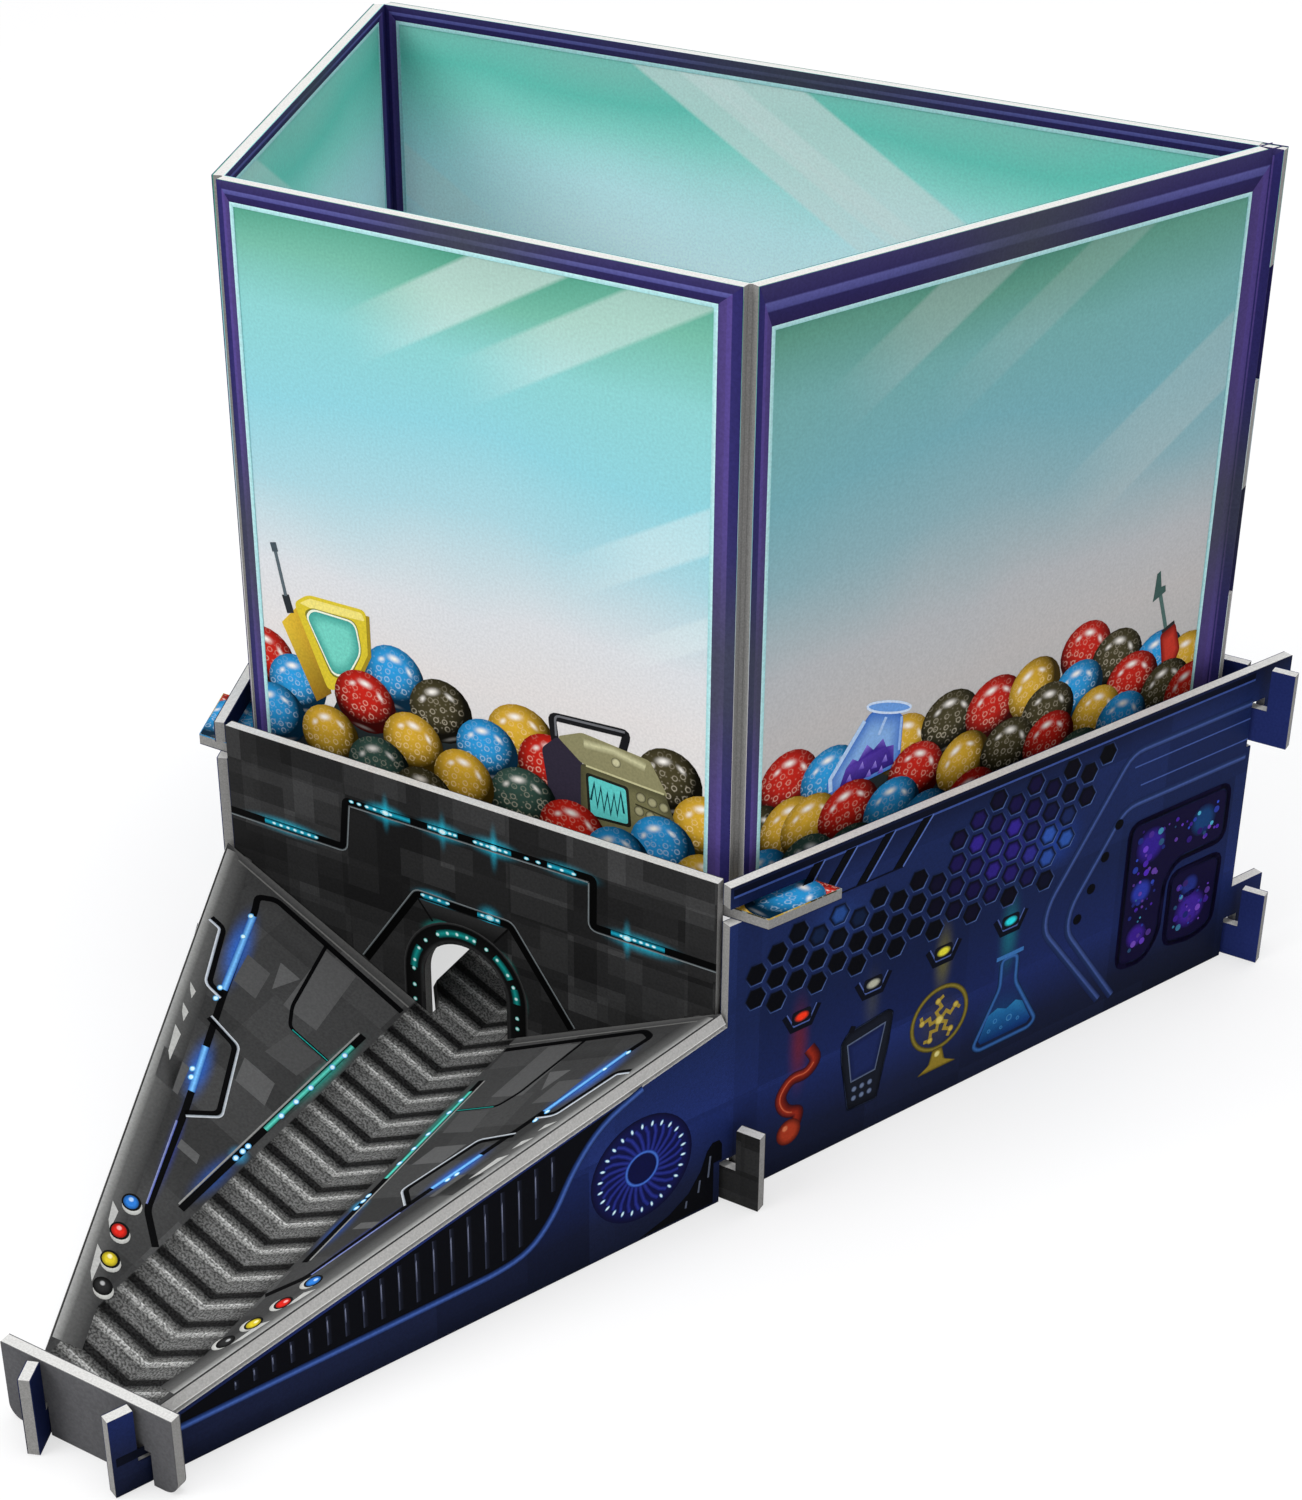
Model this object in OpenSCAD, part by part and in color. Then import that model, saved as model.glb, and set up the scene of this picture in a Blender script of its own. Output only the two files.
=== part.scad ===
/* [Board] */
// Thickness of every die-cut board, its two printed liners included
board_t = 2; // [1.6:0.1:2.6]
// Thickness of one printed paper liner
liner_t = 0.15; // [0.1:0.01:0.3]
// Gap left wherever one board meets or passes another
fit = 0.3; // [0.2:0.05:0.5]

/* [Base] */
// Length from the stop plate's front face to the back plate's front face
base_len = 210; // [180:1:260]
// Height of the side panels, the arch plate and the back plate
base_h = 61; // [50:1:80]
// Half width over the side panels at the stop plate's front face
front_half_w = 10.4; // [9:0.1:16]
// Angle of each side panel to the centre line
flare_angle = 22.3; // [18:0.1:26]
// How far each side panel runs on in front of the stop plate
nose_len = 5.1; // [3:0.1:8]
// How far each side panel's ears run on behind the back plate's front face
ear_len = 8.4; // [6:0.1:12]

/* [Cross laps] */
// Height of each hook and each ear
hook_h = 14.8; // [12:0.1:20]
// Width of a hook outside its slot
hook_w = 4.3; // [3:0.1:8]
// Open width left between a hook and the side panel's outer face
hook_gap = 1.2; // [0.5:0.1:2]
// Extra depth of each slot past the middle of the lap
slot_play = 0.8; // [0.3:0.1:1.2]

/* [Stop plate] */
// Half width of the stop plate
stop_half_w = 16; // [15:0.1:24]
// Height of the stop plate and of the noses it sits on
stop_h = 14.4; // [12:0.1:18]
// Height at which the stop plate and the noses lap each other
stop_lap_z = 5.6; // [4:0.1:7]
// Radius of the stop plate's two lower corners
stop_corner_r = 2.5; // [1:0.1:4]

/* [Arch plate] */
// Distance from the stop plate's front face to the arch plate's front face
arch_y = 98.4; // [80:0.1:120]
// Radius of the arch, half its width
arch_r = 8.4; // [8:0.1:10]
// Height of the arch's springing line
arch_spring_z = 24; // [22:0.1:28]

/* [Ramp] */
// Height of the ramp's crease at the stop plate's front face
crease_z = 6.7; // [6:0.1:9]
// Upward pitch of the crease towards the arch
ramp_pitch = 3.35; // [1:0.05:4]
// Tilt of each wing about the crease
wing_tilt = 26.5; // [24:0.1:28]
// How far a wing reaches over the side panel's sloped edge
wing_reach = 1; // [0.5:0.1:1.5]
// Half width of the tongue behind the arch plate
tongue_half_w = 10.4; // [9:0.1:14]
// Distance from the arch plate's back face to the end of the tongue
tongue_len = 58; // [40:1:80]
// Length of the barb's slanted shoulder behind the arch plate
barb_len = 4; // [2:0.5:8]

/* [Hopper floor] */
// Height of the hopper floor's upper face
floor_z = 55.9; // [46:0.1:56]
// How far each floor ear stands out of the side panel
floor_ear_out = 4.2; // [3:0.1:8]
// Length of each floor ear along the base
floor_ear_len = 13.8; // [8:0.1:20]
// Spare height above a floor ear in its notch
notch_play = 1.2; // [0.4:0.1:2]
// Width of the drop hole
drop_w = 26; // [20:1:34]
// Length of the drop hole
drop_len = 30; // [20:1:36]
// Distance from the arch plate's back face to the drop hole
drop_back = 22; // [14:1:30]
// Radius of the drop hole's corners
drop_corner_r = 4; // [1:0.5:8]
// Distance from the centre line to the middle of each floor tab
tab_x = 45; // [30:1:60]
// Width of each floor tab
tab_w = 20; // [10:1:26]

/* [Tank] */
// Height of the tank's panels
tank_h = 99.7; // [80:0.1:130]
// Gap from the arch plate's back face to the tank's front panel
tank_front_gap = 4.7; // [2:0.1:8]
// Gap from a side panel's inner face to the tank, along the arch plate
tank_side_gap = 2.5; // [1.8:0.1:5]
// Gap from the tank's back panel to the back plate
tank_rear_gap = 2.5; // [1:0.1:5]
// How much less the tank flares than the base
tank_flare_ease = 0.3; // [0:0.1:1]
// How far the back panel's fingers stand out past the right panel
finger_reach = 1; // [0.5:0.1:1.2]
// Width of the uncut web left at the root of each fold
web_w = 0.5; // [0.3:0.05:0.8]

/* [Hidden] */
$fn = 64;
finger_count = 5;
// The tank stands this far above the floor, on its own body
tank_seat_gap = 0.2;
// How far a cut or a root runs on past the face it starts from
over = 1;

// Side panels, in plan: the outer face is x = front_half_w + y * tan(flare_angle)
flare_cos = cos(flare_angle);
flare_sin = sin(flare_angle);
flare_tan = tan(flare_angle);
panel_x = board_t / flare_cos;
function outer_x(y) = front_half_w + y * flare_tan;
function inner_x(y) = outer_x(y) - panel_x;

// Where a side panel's slot starts and ends along the panel, for a plate whose front face is at y
function slot_from(y) = y / flare_cos - board_t * flare_tan - fit;
function slot_to(y) = (y + board_t) / flare_cos + fit;

// Ramp: its upper face is z = ramp_z(x, y) for x from the crease outwards
wing_slope = tan(wing_tilt) / cos(ramp_pitch);
crease_slope = tan(ramp_pitch);
ramp_drop = board_t / (cos(wing_tilt) * cos(ramp_pitch));
function ramp_z(x, y) = crease_z + crease_slope * y + wing_slope * x;
// A plan point laid out flat on the unfolded wing
function on_wing(x, y) =
    [x / cos(wing_tilt), y / cos(ramp_pitch) + x * tan(wing_tilt) * crease_slope];
// Height of a side panel's sloped edge, under the wing at the panel's inner face
function edge_z(s) =
    ramp_z(front_half_w + s * flare_sin - board_t * flare_cos,
           s * flare_cos + board_t * flare_sin) - ramp_drop;

panel_end = base_len / flare_cos + ear_len;
panel_step = arch_y / flare_cos;
arch_back = arch_y + board_t;
lap_z = hook_h / 2;
ramp_front_y = board_t + 2 * fit;
ramp_rear_y = arch_y - fit;
// The neck's cut edge leans out by the board's thickness below its upper face
neck_half_w = arch_r - fit - board_t * sin(wing_tilt);
ear_front_y = arch_back + fit;
ear_rear_y = ear_front_y + floor_ear_len;
floor_rear_y = base_len - fit;
notch_end = (ear_rear_y + fit) / flare_cos;
notch_low = floor_z - board_t;
notch_high = floor_z + notch_play;

// Tank
tank_z = floor_z + tank_seat_gap;
tank_flare = flare_angle - tank_flare_ease;
tank_front_y = arch_back + tank_front_gap;
tank_back_y = base_len - tank_rear_gap - board_t;
tank_front_x = inner_x(tank_front_y) - tank_side_gap - board_t / cos(tank_flare);
tank_corner_y = tank_front_y + board_t;
tank_run = tank_back_y - tank_corner_y;
tank_side_len = tank_run / cos(tank_flare);
tank_back_x = tank_front_x + tank_run * tan(tank_flare);
finger_h = tank_h / finger_count;
finger_end_x = tank_back_x + board_t / cos(tank_flare) + board_t * tan(tank_flare) + finger_reach;
side_finger_len = tank_side_len + (board_t + board_t * sin(tank_flare)) / cos(tank_flare);

// The origin stands under the middle of the whole outline
front_tip_y = -nose_len * flare_cos;
rear_tip_y = panel_end * flare_cos + board_t * flare_sin;
mid_y = (front_tip_y + rear_tip_y) / 2;

// Three layers of a board, by depth from its face
function layer_from(layer) = layer == "face" ? 0 : layer == "core" ? liner_t : board_t - liner_t;
function layer_to(layer) = layer == "face" ? liner_t : layer == "core" ? board_t - liner_t : board_t;

grey = "#8d8d8b";
navy = "#1d2b6b";
dark_navy = "#141638";
charcoal = "#26272a";
egg_print = "#3f6f9a";
glass_print = "#8fd6cf";
violet_print = "#3b2f78";

// One layer of an upright board: the outline's x and y become x and z, its face at y = 0
module upright(layer) {
    translate([0, layer_to(layer), 0])
        rotate([90, 0, 0])
            linear_extrude(layer_to(layer) - layer_from(layer))
                children();
}

module in_base() {
    translate([0, -mid_y, 0])
        children();
}

// Square with all four corners rounded by true arcs
module rounded_rect(x0, y0, w, h, r) {
    translate([x0 + r, y0])
        square([w - 2 * r, h]);
    translate([x0, y0 + r])
        square([w, h - 2 * r]);
    for (x = [x0 + r, x0 + w - r], y = [y0 + r, y0 + h - r])
        translate([x, y])
            circle(r);
}

// ---- Stop plate: a straight top, rounded feet, two slots open below
module stop_outline() {
    difference() {
        union() {
            rounded_rect(-stop_half_w, 0, 2 * stop_half_w, stop_h - stop_corner_r, stop_corner_r);
            translate([-stop_half_w, stop_corner_r])
                square([2 * stop_half_w, stop_h - stop_corner_r]);
        }
        for (side = [0, 1])
            mirror([side, 0])
                translate([inner_x(0) - fit, -over])
                    square([outer_x(board_t) - inner_x(0) + 2 * fit, stop_lap_z + slot_play + over]);
    }
}

module stop_layer(layer) {
    in_base()
        upright(layer)
            stop_outline();
}

// ---- Side panel outline: x runs along the panel from the stop plate, y is height
module side_outline() {
    difference() {
        union() {
            polygon([
                [-nose_len, 0],
                [panel_step, 0],
                [panel_step, edge_z(panel_step)],
                [slot_to(0), edge_z(slot_to(0))],
                [slot_to(0), stop_lap_z - slot_play],
                [slot_from(0), stop_lap_z - slot_play],
                [slot_from(0), stop_h],
                [-nose_len, stop_h]
            ]);
            translate([panel_step, 0])
                square([base_len / flare_cos - panel_step, base_h]);
            for (z = [0, base_h - hook_h])
                translate([base_len / flare_cos - hook_h, z])
                    square([ear_len + hook_h, hook_h]);
        }
        translate([slot_from(arch_y), -over])
            square([slot_to(arch_y) - slot_from(arch_y), lap_z + slot_play + over]);
        for (z = [0, base_h - hook_h])
            translate([slot_from(base_len), z - over])
                square([slot_to(base_len) - slot_from(base_len), lap_z + slot_play + over]);
        translate([panel_step - over, notch_low])
            square([notch_end - panel_step + over, notch_high - notch_low]);
    }
}

module right_side_layer(layer) {
    in_base()
        translate([front_half_w, 0, 0])
            rotate([0, 0, 90 - flare_angle])
                upright(layer)
                    side_outline();
}

module left_side_layer(layer) {
    mirror([1, 0, 0])
        right_side_layer(layer);
}

// ---- Hooks that reach out under the side panels, for a plate whose front face is at y
module hook_outline(y, z) {
    for (side = [0, 1])
        mirror([side, 0])
            difference() {
                translate([0, z])
                    square([outer_x(y + board_t) + hook_gap + hook_w, hook_h]);
                translate([inner_x(y) - fit, z + hook_h / 2 - slot_play])
                    square([outer_x(y + board_t) + hook_gap - inner_x(y) + fit, hook_h]);
            }
}

module plate_outline(y) {
    half_w = inner_x(y) - fit;
    translate([-half_w, 0])
        square([2 * half_w, base_h]);
}

// ---- Arch plate
module arch_outline() {
    difference() {
        union() {
            plate_outline(arch_y);
            hook_outline(arch_y, 0);
        }
        translate([0, arch_spring_z])
            circle(arch_r);
        // The sill is cut to the ramp's own V, so that the tongue lies on it
        polygon([
            [-arch_r, arch_spring_z],
            [-arch_r, ramp_z(arch_r, arch_y) - ramp_drop],
            [0, ramp_z(0, arch_y) - ramp_drop],
            [arch_r, ramp_z(arch_r, arch_y) - ramp_drop],
            [arch_r, arch_spring_z]
        ]);
    }
}

module arch_layer(layer) {
    in_base()
        translate([0, arch_y, 0])
            upright(layer)
                arch_outline();
}

// ---- Back plate, with slots for the hopper floor's tabs
module back_outline() {
    difference() {
        union() {
            plate_outline(base_len);
            hook_outline(base_len, 0);
            hook_outline(base_len, base_h - hook_h);
        }
        for (x = [-tab_x, tab_x])
            translate([x - tab_w / 2 - fit, floor_z - board_t])
                square([tab_w + 2 * fit, board_t + fit]);
    }
}

module back_layer(layer) {
    in_base()
        translate([0, base_len, 0])
            upright(layer)
                back_outline();
}

// ---- Ramp: one board folded along its crease; this is its right half laid flat
module wing_outline() {
    wing_x = wing_reach / flare_cos;
    neck_rear_y = arch_back + fit;
    tongue_rear_y = arch_back + tongue_len;
    polygon([
        on_wing(0, ramp_front_y),
        on_wing(inner_x(ramp_front_y) + wing_x, ramp_front_y),
        on_wing(inner_x(ramp_rear_y) + wing_x, ramp_rear_y),
        on_wing(neck_half_w, ramp_rear_y),
        on_wing(neck_half_w, neck_rear_y),
        on_wing(tongue_half_w, neck_rear_y + barb_len),
        on_wing(tongue_half_w, tongue_rear_y),
        on_wing(0, tongue_rear_y)
    ]);
}

module ramp_right_layer(layer) {
    in_base()
        translate([0, 0, crease_z])
            rotate([ramp_pitch, 0, 0])
                rotate([0, -wing_tilt, 0])
                    translate([0, 0, -layer_to(layer)])
                        linear_extrude(layer_to(layer) - layer_from(layer))
                            wing_outline();
}

module ramp_left_layer(layer) {
    mirror([1, 0, 0])
        ramp_right_layer(layer);
}

// The few uncut fibres under the crease that the two halves fold on
module crease_web() {
    web_front = on_wing(0, ramp_front_y)[1];
    web_rear = on_wing(0, arch_back + tongue_len)[1];
    in_base()
        translate([0, 0, crease_z])
            rotate([ramp_pitch, 0, 0])
                translate([0, web_rear, 0])
                    rotate([90, 0, 0])
                        linear_extrude(web_rear - web_front)
                            polygon([
                                [0, 0],
                                [web_w * sin(wing_tilt), -web_w * cos(wing_tilt)],
                                [-web_w * sin(wing_tilt), -web_w * cos(wing_tilt)]
                            ]);
}

// ---- Hopper floor, in plan
module floor_outline() {
    difference() {
        for (side = [0, 1])
            mirror([side, 0]) {
                polygon([
                    [0, ear_front_y],
                    [inner_x(ear_front_y) - fit, ear_front_y],
                    [inner_x(floor_rear_y) - fit, floor_rear_y],
                    [0, floor_rear_y]
                ]);
                polygon([
                    [0, ear_front_y],
                    [outer_x(ear_front_y) + floor_ear_out / flare_cos, ear_front_y],
                    [outer_x(ear_rear_y) + floor_ear_out / flare_cos, ear_rear_y],
                    [0, ear_rear_y]
                ]);
                translate([tab_x - tab_w / 2, floor_rear_y - over])
                    square([tab_w, base_len + board_t - floor_rear_y + over]);
            }
        rounded_rect(-drop_w / 2, arch_back + drop_back, drop_w, drop_len, drop_corner_r);
    }
}

module floor_layer(layer) {
    in_base()
        translate([0, 0, floor_z - layer_to(layer)])
            linear_extrude(layer_to(layer) - layer_from(layer))
                floor_outline();
}

// ---- Tank: four panels of one wrap-around board
module tank_frame() {
    in_base()
        translate([0, 0, tank_z])
            children();
}

module tank_front_layer(layer) {
    tank_frame()
        translate([0, tank_front_y, 0])
            upright(layer)
                translate([-tank_front_x, 0])
                    square([2 * tank_front_x, tank_h]);
}

// The panel's inner lower corner is the fold, so the board lies outside that line
module tank_side_place() {
    tank_frame()
        translate([tank_front_x, tank_corner_y, 0])
            rotate([0, 0, 90 - tank_flare])
                translate([0, -board_t, 0])
                    children();
}

// Every second finger of the joint, from the given one
module fingers(first, x0, x1) {
    for (i = [first:2:finger_count - 1]) {
        low = max(0, i * finger_h + fit / 2);
        high = min(tank_h, (i + 1) * finger_h - fit / 2);
        translate([x0, low])
            square([x1 - x0, high - low]);
    }
}

module tank_right_layer(layer) {
    short = tank_side_len - fit;
    tank_side_place()
        upright(layer) {
            square([short, tank_h]);
            fingers(1, short - over, side_finger_len);
        }
}

module tank_left_layer(layer) {
    mirror([1, 0, 0])
        tank_side_place()
            upright(layer)
                square([tank_side_len, tank_h]);
}

module tank_back_layer(layer) {
    short = tank_back_x - fit;
    tank_frame()
        translate([0, tank_back_y, 0])
            upright(layer) {
                translate([-tank_back_x, 0])
                    square([tank_back_x + short, tank_h]);
                fingers(0, short - over, finger_end_x);
            }
}

// Root of a fold at the front: between the front panel's end and a side panel's end
module front_web() {
    tank_frame()
        translate([tank_front_x, tank_corner_y, 0])
            linear_extrude(tank_h)
                polygon([
                    [0, 0],
                    [0, -web_w],
                    [web_w * cos(tank_flare), -web_w * sin(tank_flare)]
                ]);
}

// Root of the fold at the rear left corner
module rear_web() {
    tank_frame()
        translate([-tank_back_x, tank_back_y, 0])
            linear_extrude(tank_h)
                polygon([
                    [0, 0],
                    [0, web_w],
                    [-web_w * cos(tank_flare), -web_w * sin(tank_flare)]
                ]);
}

// ---- Sub-parts
module stop_board() { color(grey) stop_layer("core"); }
module stop_front_print() { color(charcoal) stop_layer("face"); }
module stop_back_print() { color(charcoal) stop_layer("back"); }

module left_side_board() { color(grey) left_side_layer("core"); }
module left_side_outer_print() { color(navy) left_side_layer("face"); }
module left_side_inner_print() { color(dark_navy) left_side_layer("back"); }

module right_side_board() { color(grey) right_side_layer("core"); }
module right_side_outer_print() { color(navy) right_side_layer("face"); }
module right_side_inner_print() { color(dark_navy) right_side_layer("back"); }

module arch_board() { color(grey) arch_layer("core"); }
module arch_front_print() { color(charcoal) arch_layer("face"); }
module arch_back_print() { color(charcoal) arch_layer("back"); }

module back_board() { color(grey) back_layer("core"); }
module back_inner_print() { color(navy) back_layer("face"); }
module back_outer_print() { color(navy) back_layer("back"); }

module ramp_left_board() { color(grey) ramp_left_layer("core"); }
module ramp_left_print() { color(charcoal) ramp_left_layer("face"); }
module ramp_left_under_print() { color(charcoal) ramp_left_layer("back"); }

module ramp_right_board() { color(grey) ramp_right_layer("core"); }
module ramp_right_print() { color(charcoal) ramp_right_layer("face"); }
module ramp_right_under_print() { color(charcoal) ramp_right_layer("back"); }
module ramp_crease_web() { color(grey) crease_web(); }

module floor_board() { color(grey) floor_layer("core"); }
module floor_top_print() { color(egg_print) floor_layer("face"); }
module floor_under_print() { color(charcoal) floor_layer("back"); }

module tank_front_board() { color(grey) tank_front_layer("core"); }
module tank_front_outer_print() { color(glass_print) tank_front_layer("face"); }
module tank_front_inner_print() { color(glass_print) tank_front_layer("back"); }

module tank_right_board() { color(grey) tank_right_layer("core"); }
module tank_right_outer_print() { color(glass_print) tank_right_layer("face"); }
module tank_right_inner_print() { color(glass_print) tank_right_layer("back"); }

module tank_left_board() { color(grey) tank_left_layer("core"); }
module tank_left_outer_print() { color(glass_print) tank_left_layer("face"); }
module tank_left_inner_print() { color(glass_print) tank_left_layer("back"); }

module tank_back_board() { color(grey) tank_back_layer("core"); }
module tank_back_inner_print() { color(glass_print) tank_back_layer("face"); }
module tank_back_outer_print() { color(violet_print) tank_back_layer("back"); }

module tank_web_front_right() { color(grey) front_web(); }
module tank_web_front_left() { color(grey) mirror([1, 0, 0]) front_web(); }
module tank_web_rear_left() { color(grey) rear_web(); }

stop_board();
stop_front_print();
stop_back_print();
left_side_board();
left_side_outer_print();
left_side_inner_print();
right_side_board();
right_side_outer_print();
right_side_inner_print();
arch_board();
arch_front_print();
arch_back_print();
back_board();
back_inner_print();
back_outer_print();
ramp_left_board();
ramp_left_print();
ramp_left_under_print();
ramp_right_board();
ramp_right_print();
ramp_right_under_print();
ramp_crease_web();
floor_board();
floor_top_print();
floor_under_print();
tank_front_board();
tank_front_outer_print();
tank_front_inner_print();
tank_right_board();
tank_right_outer_print();
tank_right_inner_print();
tank_left_board();
tank_left_outer_print();
tank_left_inner_print();
tank_back_board();
tank_back_inner_print();
tank_back_outer_print();
tank_web_front_right();
tank_web_front_left();
tank_web_rear_left();
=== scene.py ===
import math
import random

import bmesh
import bpy
from mathutils import Matrix, Vector


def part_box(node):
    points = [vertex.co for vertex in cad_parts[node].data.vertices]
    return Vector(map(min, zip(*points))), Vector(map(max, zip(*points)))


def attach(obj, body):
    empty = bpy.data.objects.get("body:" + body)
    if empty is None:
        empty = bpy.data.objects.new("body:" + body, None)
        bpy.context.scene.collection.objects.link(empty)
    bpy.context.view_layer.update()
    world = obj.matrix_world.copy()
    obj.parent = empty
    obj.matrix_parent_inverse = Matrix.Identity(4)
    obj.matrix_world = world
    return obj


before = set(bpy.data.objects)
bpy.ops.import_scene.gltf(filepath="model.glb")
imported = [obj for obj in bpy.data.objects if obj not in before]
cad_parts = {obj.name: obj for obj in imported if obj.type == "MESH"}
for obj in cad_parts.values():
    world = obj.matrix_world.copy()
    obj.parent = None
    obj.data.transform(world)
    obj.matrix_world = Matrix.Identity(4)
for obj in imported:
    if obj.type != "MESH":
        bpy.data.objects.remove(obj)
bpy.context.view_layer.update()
print("frame loaded:", len(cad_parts), "board, liner and web nodes")

mm = 0.001
up = Vector((0, 0, 1))


def toLinear(hexCode):
    # sRGB hex to the linear colour that shaders use
    channels = [int(hexCode[i:i + 2], 16) / 255 for i in (1, 3, 5)]
    return [c / 12.92 if c <= 0.04045 else ((c + 0.055) / 1.055) ** 2.4 for c in channels] + [1.0]


def blendHex(first, second, share):
    # a hex colour part of the way from the first to the second
    pairs = [(int(first[i:i + 2], 16), int(second[i:i + 2], 16)) for i in (1, 3, 5)]
    return "#" + "".join(f"{round(a + (b - a) * share):02x}" for a, b in pairs)


def addNode(tree, kind, inputs=None, **settings):
    # one node with its settings; an input takes a value, a socket or a node's first output,
    # and a colour ramp takes its stops as (position, hex colour) pairs
    added = tree.nodes.new(kind)
    stops = settings.pop("stops", [])
    for extra in stops[2:]:    # a new ramp already has two stops
        added.color_ramp.elements.new(1.0)
    for number, (position, shade) in enumerate(stops):
        added.color_ramp.elements[number].position = position
        added.color_ramp.elements[number].color = toLinear(shade)
    for name, value in settings.items():
        setattr(added, name, value)
    for name, value in (inputs or {}).items():
        if isinstance(value, bpy.types.Node):
            value = value.outputs[0]
        if isinstance(value, bpy.types.NodeSocket):
            tree.links.new(value, added.inputs[name])
        else:
            added.inputs[name].default_value = value
    return added


cameraView = {
    "azimuth": 31.154,      # degrees round from the front, towards the right side
    "elevation": 29.089,    # degrees down onto the object
    "place": (0.2139, -0.3127, 0.2848),
    "lens": 63.785,         # mm on a 36 mm sensor
    "shift": (0.02305, -0.02826),
}


def makeCamera(view):
    data = bpy.data.cameras.new("camera")
    data.lens = view["lens"]
    data.shift_x, data.shift_y = view["shift"]
    camera = bpy.data.objects.new("camera", data)
    camera.location = view["place"]
    camera.rotation_euler = (math.radians(90 - view["elevation"]), 0, math.radians(view["azimuth"]))
    bpy.context.scene.collection.objects.link(camera)
    bpy.context.scene.camera = camera


studio = {
    # name, place, width, watts
    "lamps": [("key", (-0.75, -1.15, 1.35), 1.1, 18.0), ("top", (0.1, 0.1, 1.7), 1.2, 17.0),
              ("fill", (1.5, -0.7, 0.9), 1.2, 0.8), ("back", (0.5, 1.6, 0.9), 1.2, 6.0)],
    "lampsAim": (0, 0, 0.06),
    "sky": "#fbfbff",
    "skyStrength": 0.43,
    "floorPaint": "#f4f4f4",
    "floorHalf": 6.0,
    "floorDrop": 0.0002,
    "floorWhiteness": 0.62,    # share of plain white that the camera sees in the floor, over its shadow
}


def makeLamps():
    for name, place, width, watts in studio["lamps"]:
        data = bpy.data.lights.new(name, "AREA")
        data.size = width
        data.energy = watts
        lamp = bpy.data.objects.new(name, data)
        lamp.location = place
        aim = Vector(studio["lampsAim"]) - Vector(place)
        lamp.rotation_euler = aim.to_track_quat("-Z", "Y").to_euler()
        bpy.context.scene.collection.objects.link(lamp)


def makeWorld():
    # plain sky light on the object, and white where a camera, mirror or glass ray leaves the scene
    world = bpy.data.worlds.new("studio")
    bpy.context.scene.world = world
    world.use_nodes = True
    tree = world.node_tree
    tree.nodes.clear()
    path = addNode(tree, "ShaderNodeLightPath")
    seen = addNode(tree, "ShaderNodeMath", {0: path.outputs["Is Camera Ray"],
                                            1: path.outputs["Is Glossy Ray"]},
                   operation="MAXIMUM")
    seen = addNode(tree, "ShaderNodeMath", {0: seen, 1: path.outputs["Is Transmission Ray"]},
                   operation="MAXIMUM")
    sky = addNode(tree, "ShaderNodeBackground", {"Color": toLinear(studio["sky"]),
                                                 "Strength": studio["skyStrength"]})
    white = addNode(tree, "ShaderNodeBackground", {"Color": (1, 1, 1, 1), "Strength": 1.0})
    either = addNode(tree, "ShaderNodeMixShader", {0: seen, 1: sky, 2: white})
    addNode(tree, "ShaderNodeOutputWorld", {"Surface": either})


def makeFloor():
    # painted studio floor: matt and pale, so it shows the object's soft shadow
    mesh = bpy.data.meshes.new("studio_floor")
    half = studio["floorHalf"]
    mesh.from_pydata([(-half, -half, 0), (half, -half, 0), (half, half, 0), (-half, half, 0)], [],
                     [(0, 1, 2, 3)])
    floor = bpy.data.objects.new("studio_floor", mesh)
    floor.location.z = -studio["floorDrop"]
    bpy.context.scene.collection.objects.link(floor)
    material = bpy.data.materials.new("mattStudioPaint")
    material.use_nodes = True
    tree = material.node_tree
    tree.nodes.clear()
    paint = addNode(tree, "ShaderNodeBsdfDiffuse", {"Color": toLinear(studio["floorPaint"])})
    white = addNode(tree, "ShaderNodeEmission", {"Color": (1, 1, 1, 1), "Strength": 1.0})
    path = addNode(tree, "ShaderNodeLightPath")
    share = addNode(tree, "ShaderNodeMath", {0: path.outputs["Is Camera Ray"], 1: studio["floorWhiteness"]},
                    operation="MULTIPLY")
    seen = addNode(tree, "ShaderNodeMixShader", {0: share, 1: paint, 2: white})
    addNode(tree, "ShaderNodeOutputMaterial", {"Surface": seen})
    mesh.materials.append(material)


makeCamera(cameraView)
makeLamps()
makeWorld()
makeFloor()
bpy.context.scene.view_settings.view_transform = "Standard"
print("camera, lamps and floor made")


class Face:
    # a printed face: place turns its own millimetres (right, up, out) into the frame
    def __init__(self, place, width=0.0, height=0.0):
        self.place = place
        self.width = width
        self.height = height

    def fromMiddle(self):
        # the same face, with right counted from its middle
        return Face(self.place @ Matrix.Translation((self.width / 2, 0, 0)), self.width, self.height)

    def mirrored(self):
        flip = Matrix.Diagonal((-1, 1, 1, 1))
        return Face(self.place @ Matrix.Translation((self.width, 0, 0)) @ flip, self.width, self.height)


def outwardNormal(printName, boardName):
    # the direction of the liner's biggest flat face that looks away from its board
    areas = {}
    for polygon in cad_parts[printName].data.polygons:
        key = tuple(round(n, 2) for n in polygon.normal)
        areas.setdefault(key, [0.0, Vector()])
        areas[key][0] += polygon.area
        areas[key][1] += polygon.normal * polygon.area
    centres = [sum(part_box(name), Vector()) / 2 for name in (printName, boardName)]
    away = centres[0] - centres[1]
    facing = [entry for entry in areas.values() if entry[1].dot(away) > 0]
    return max(facing, key=lambda entry: entry[0])[1].normalized()


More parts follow.
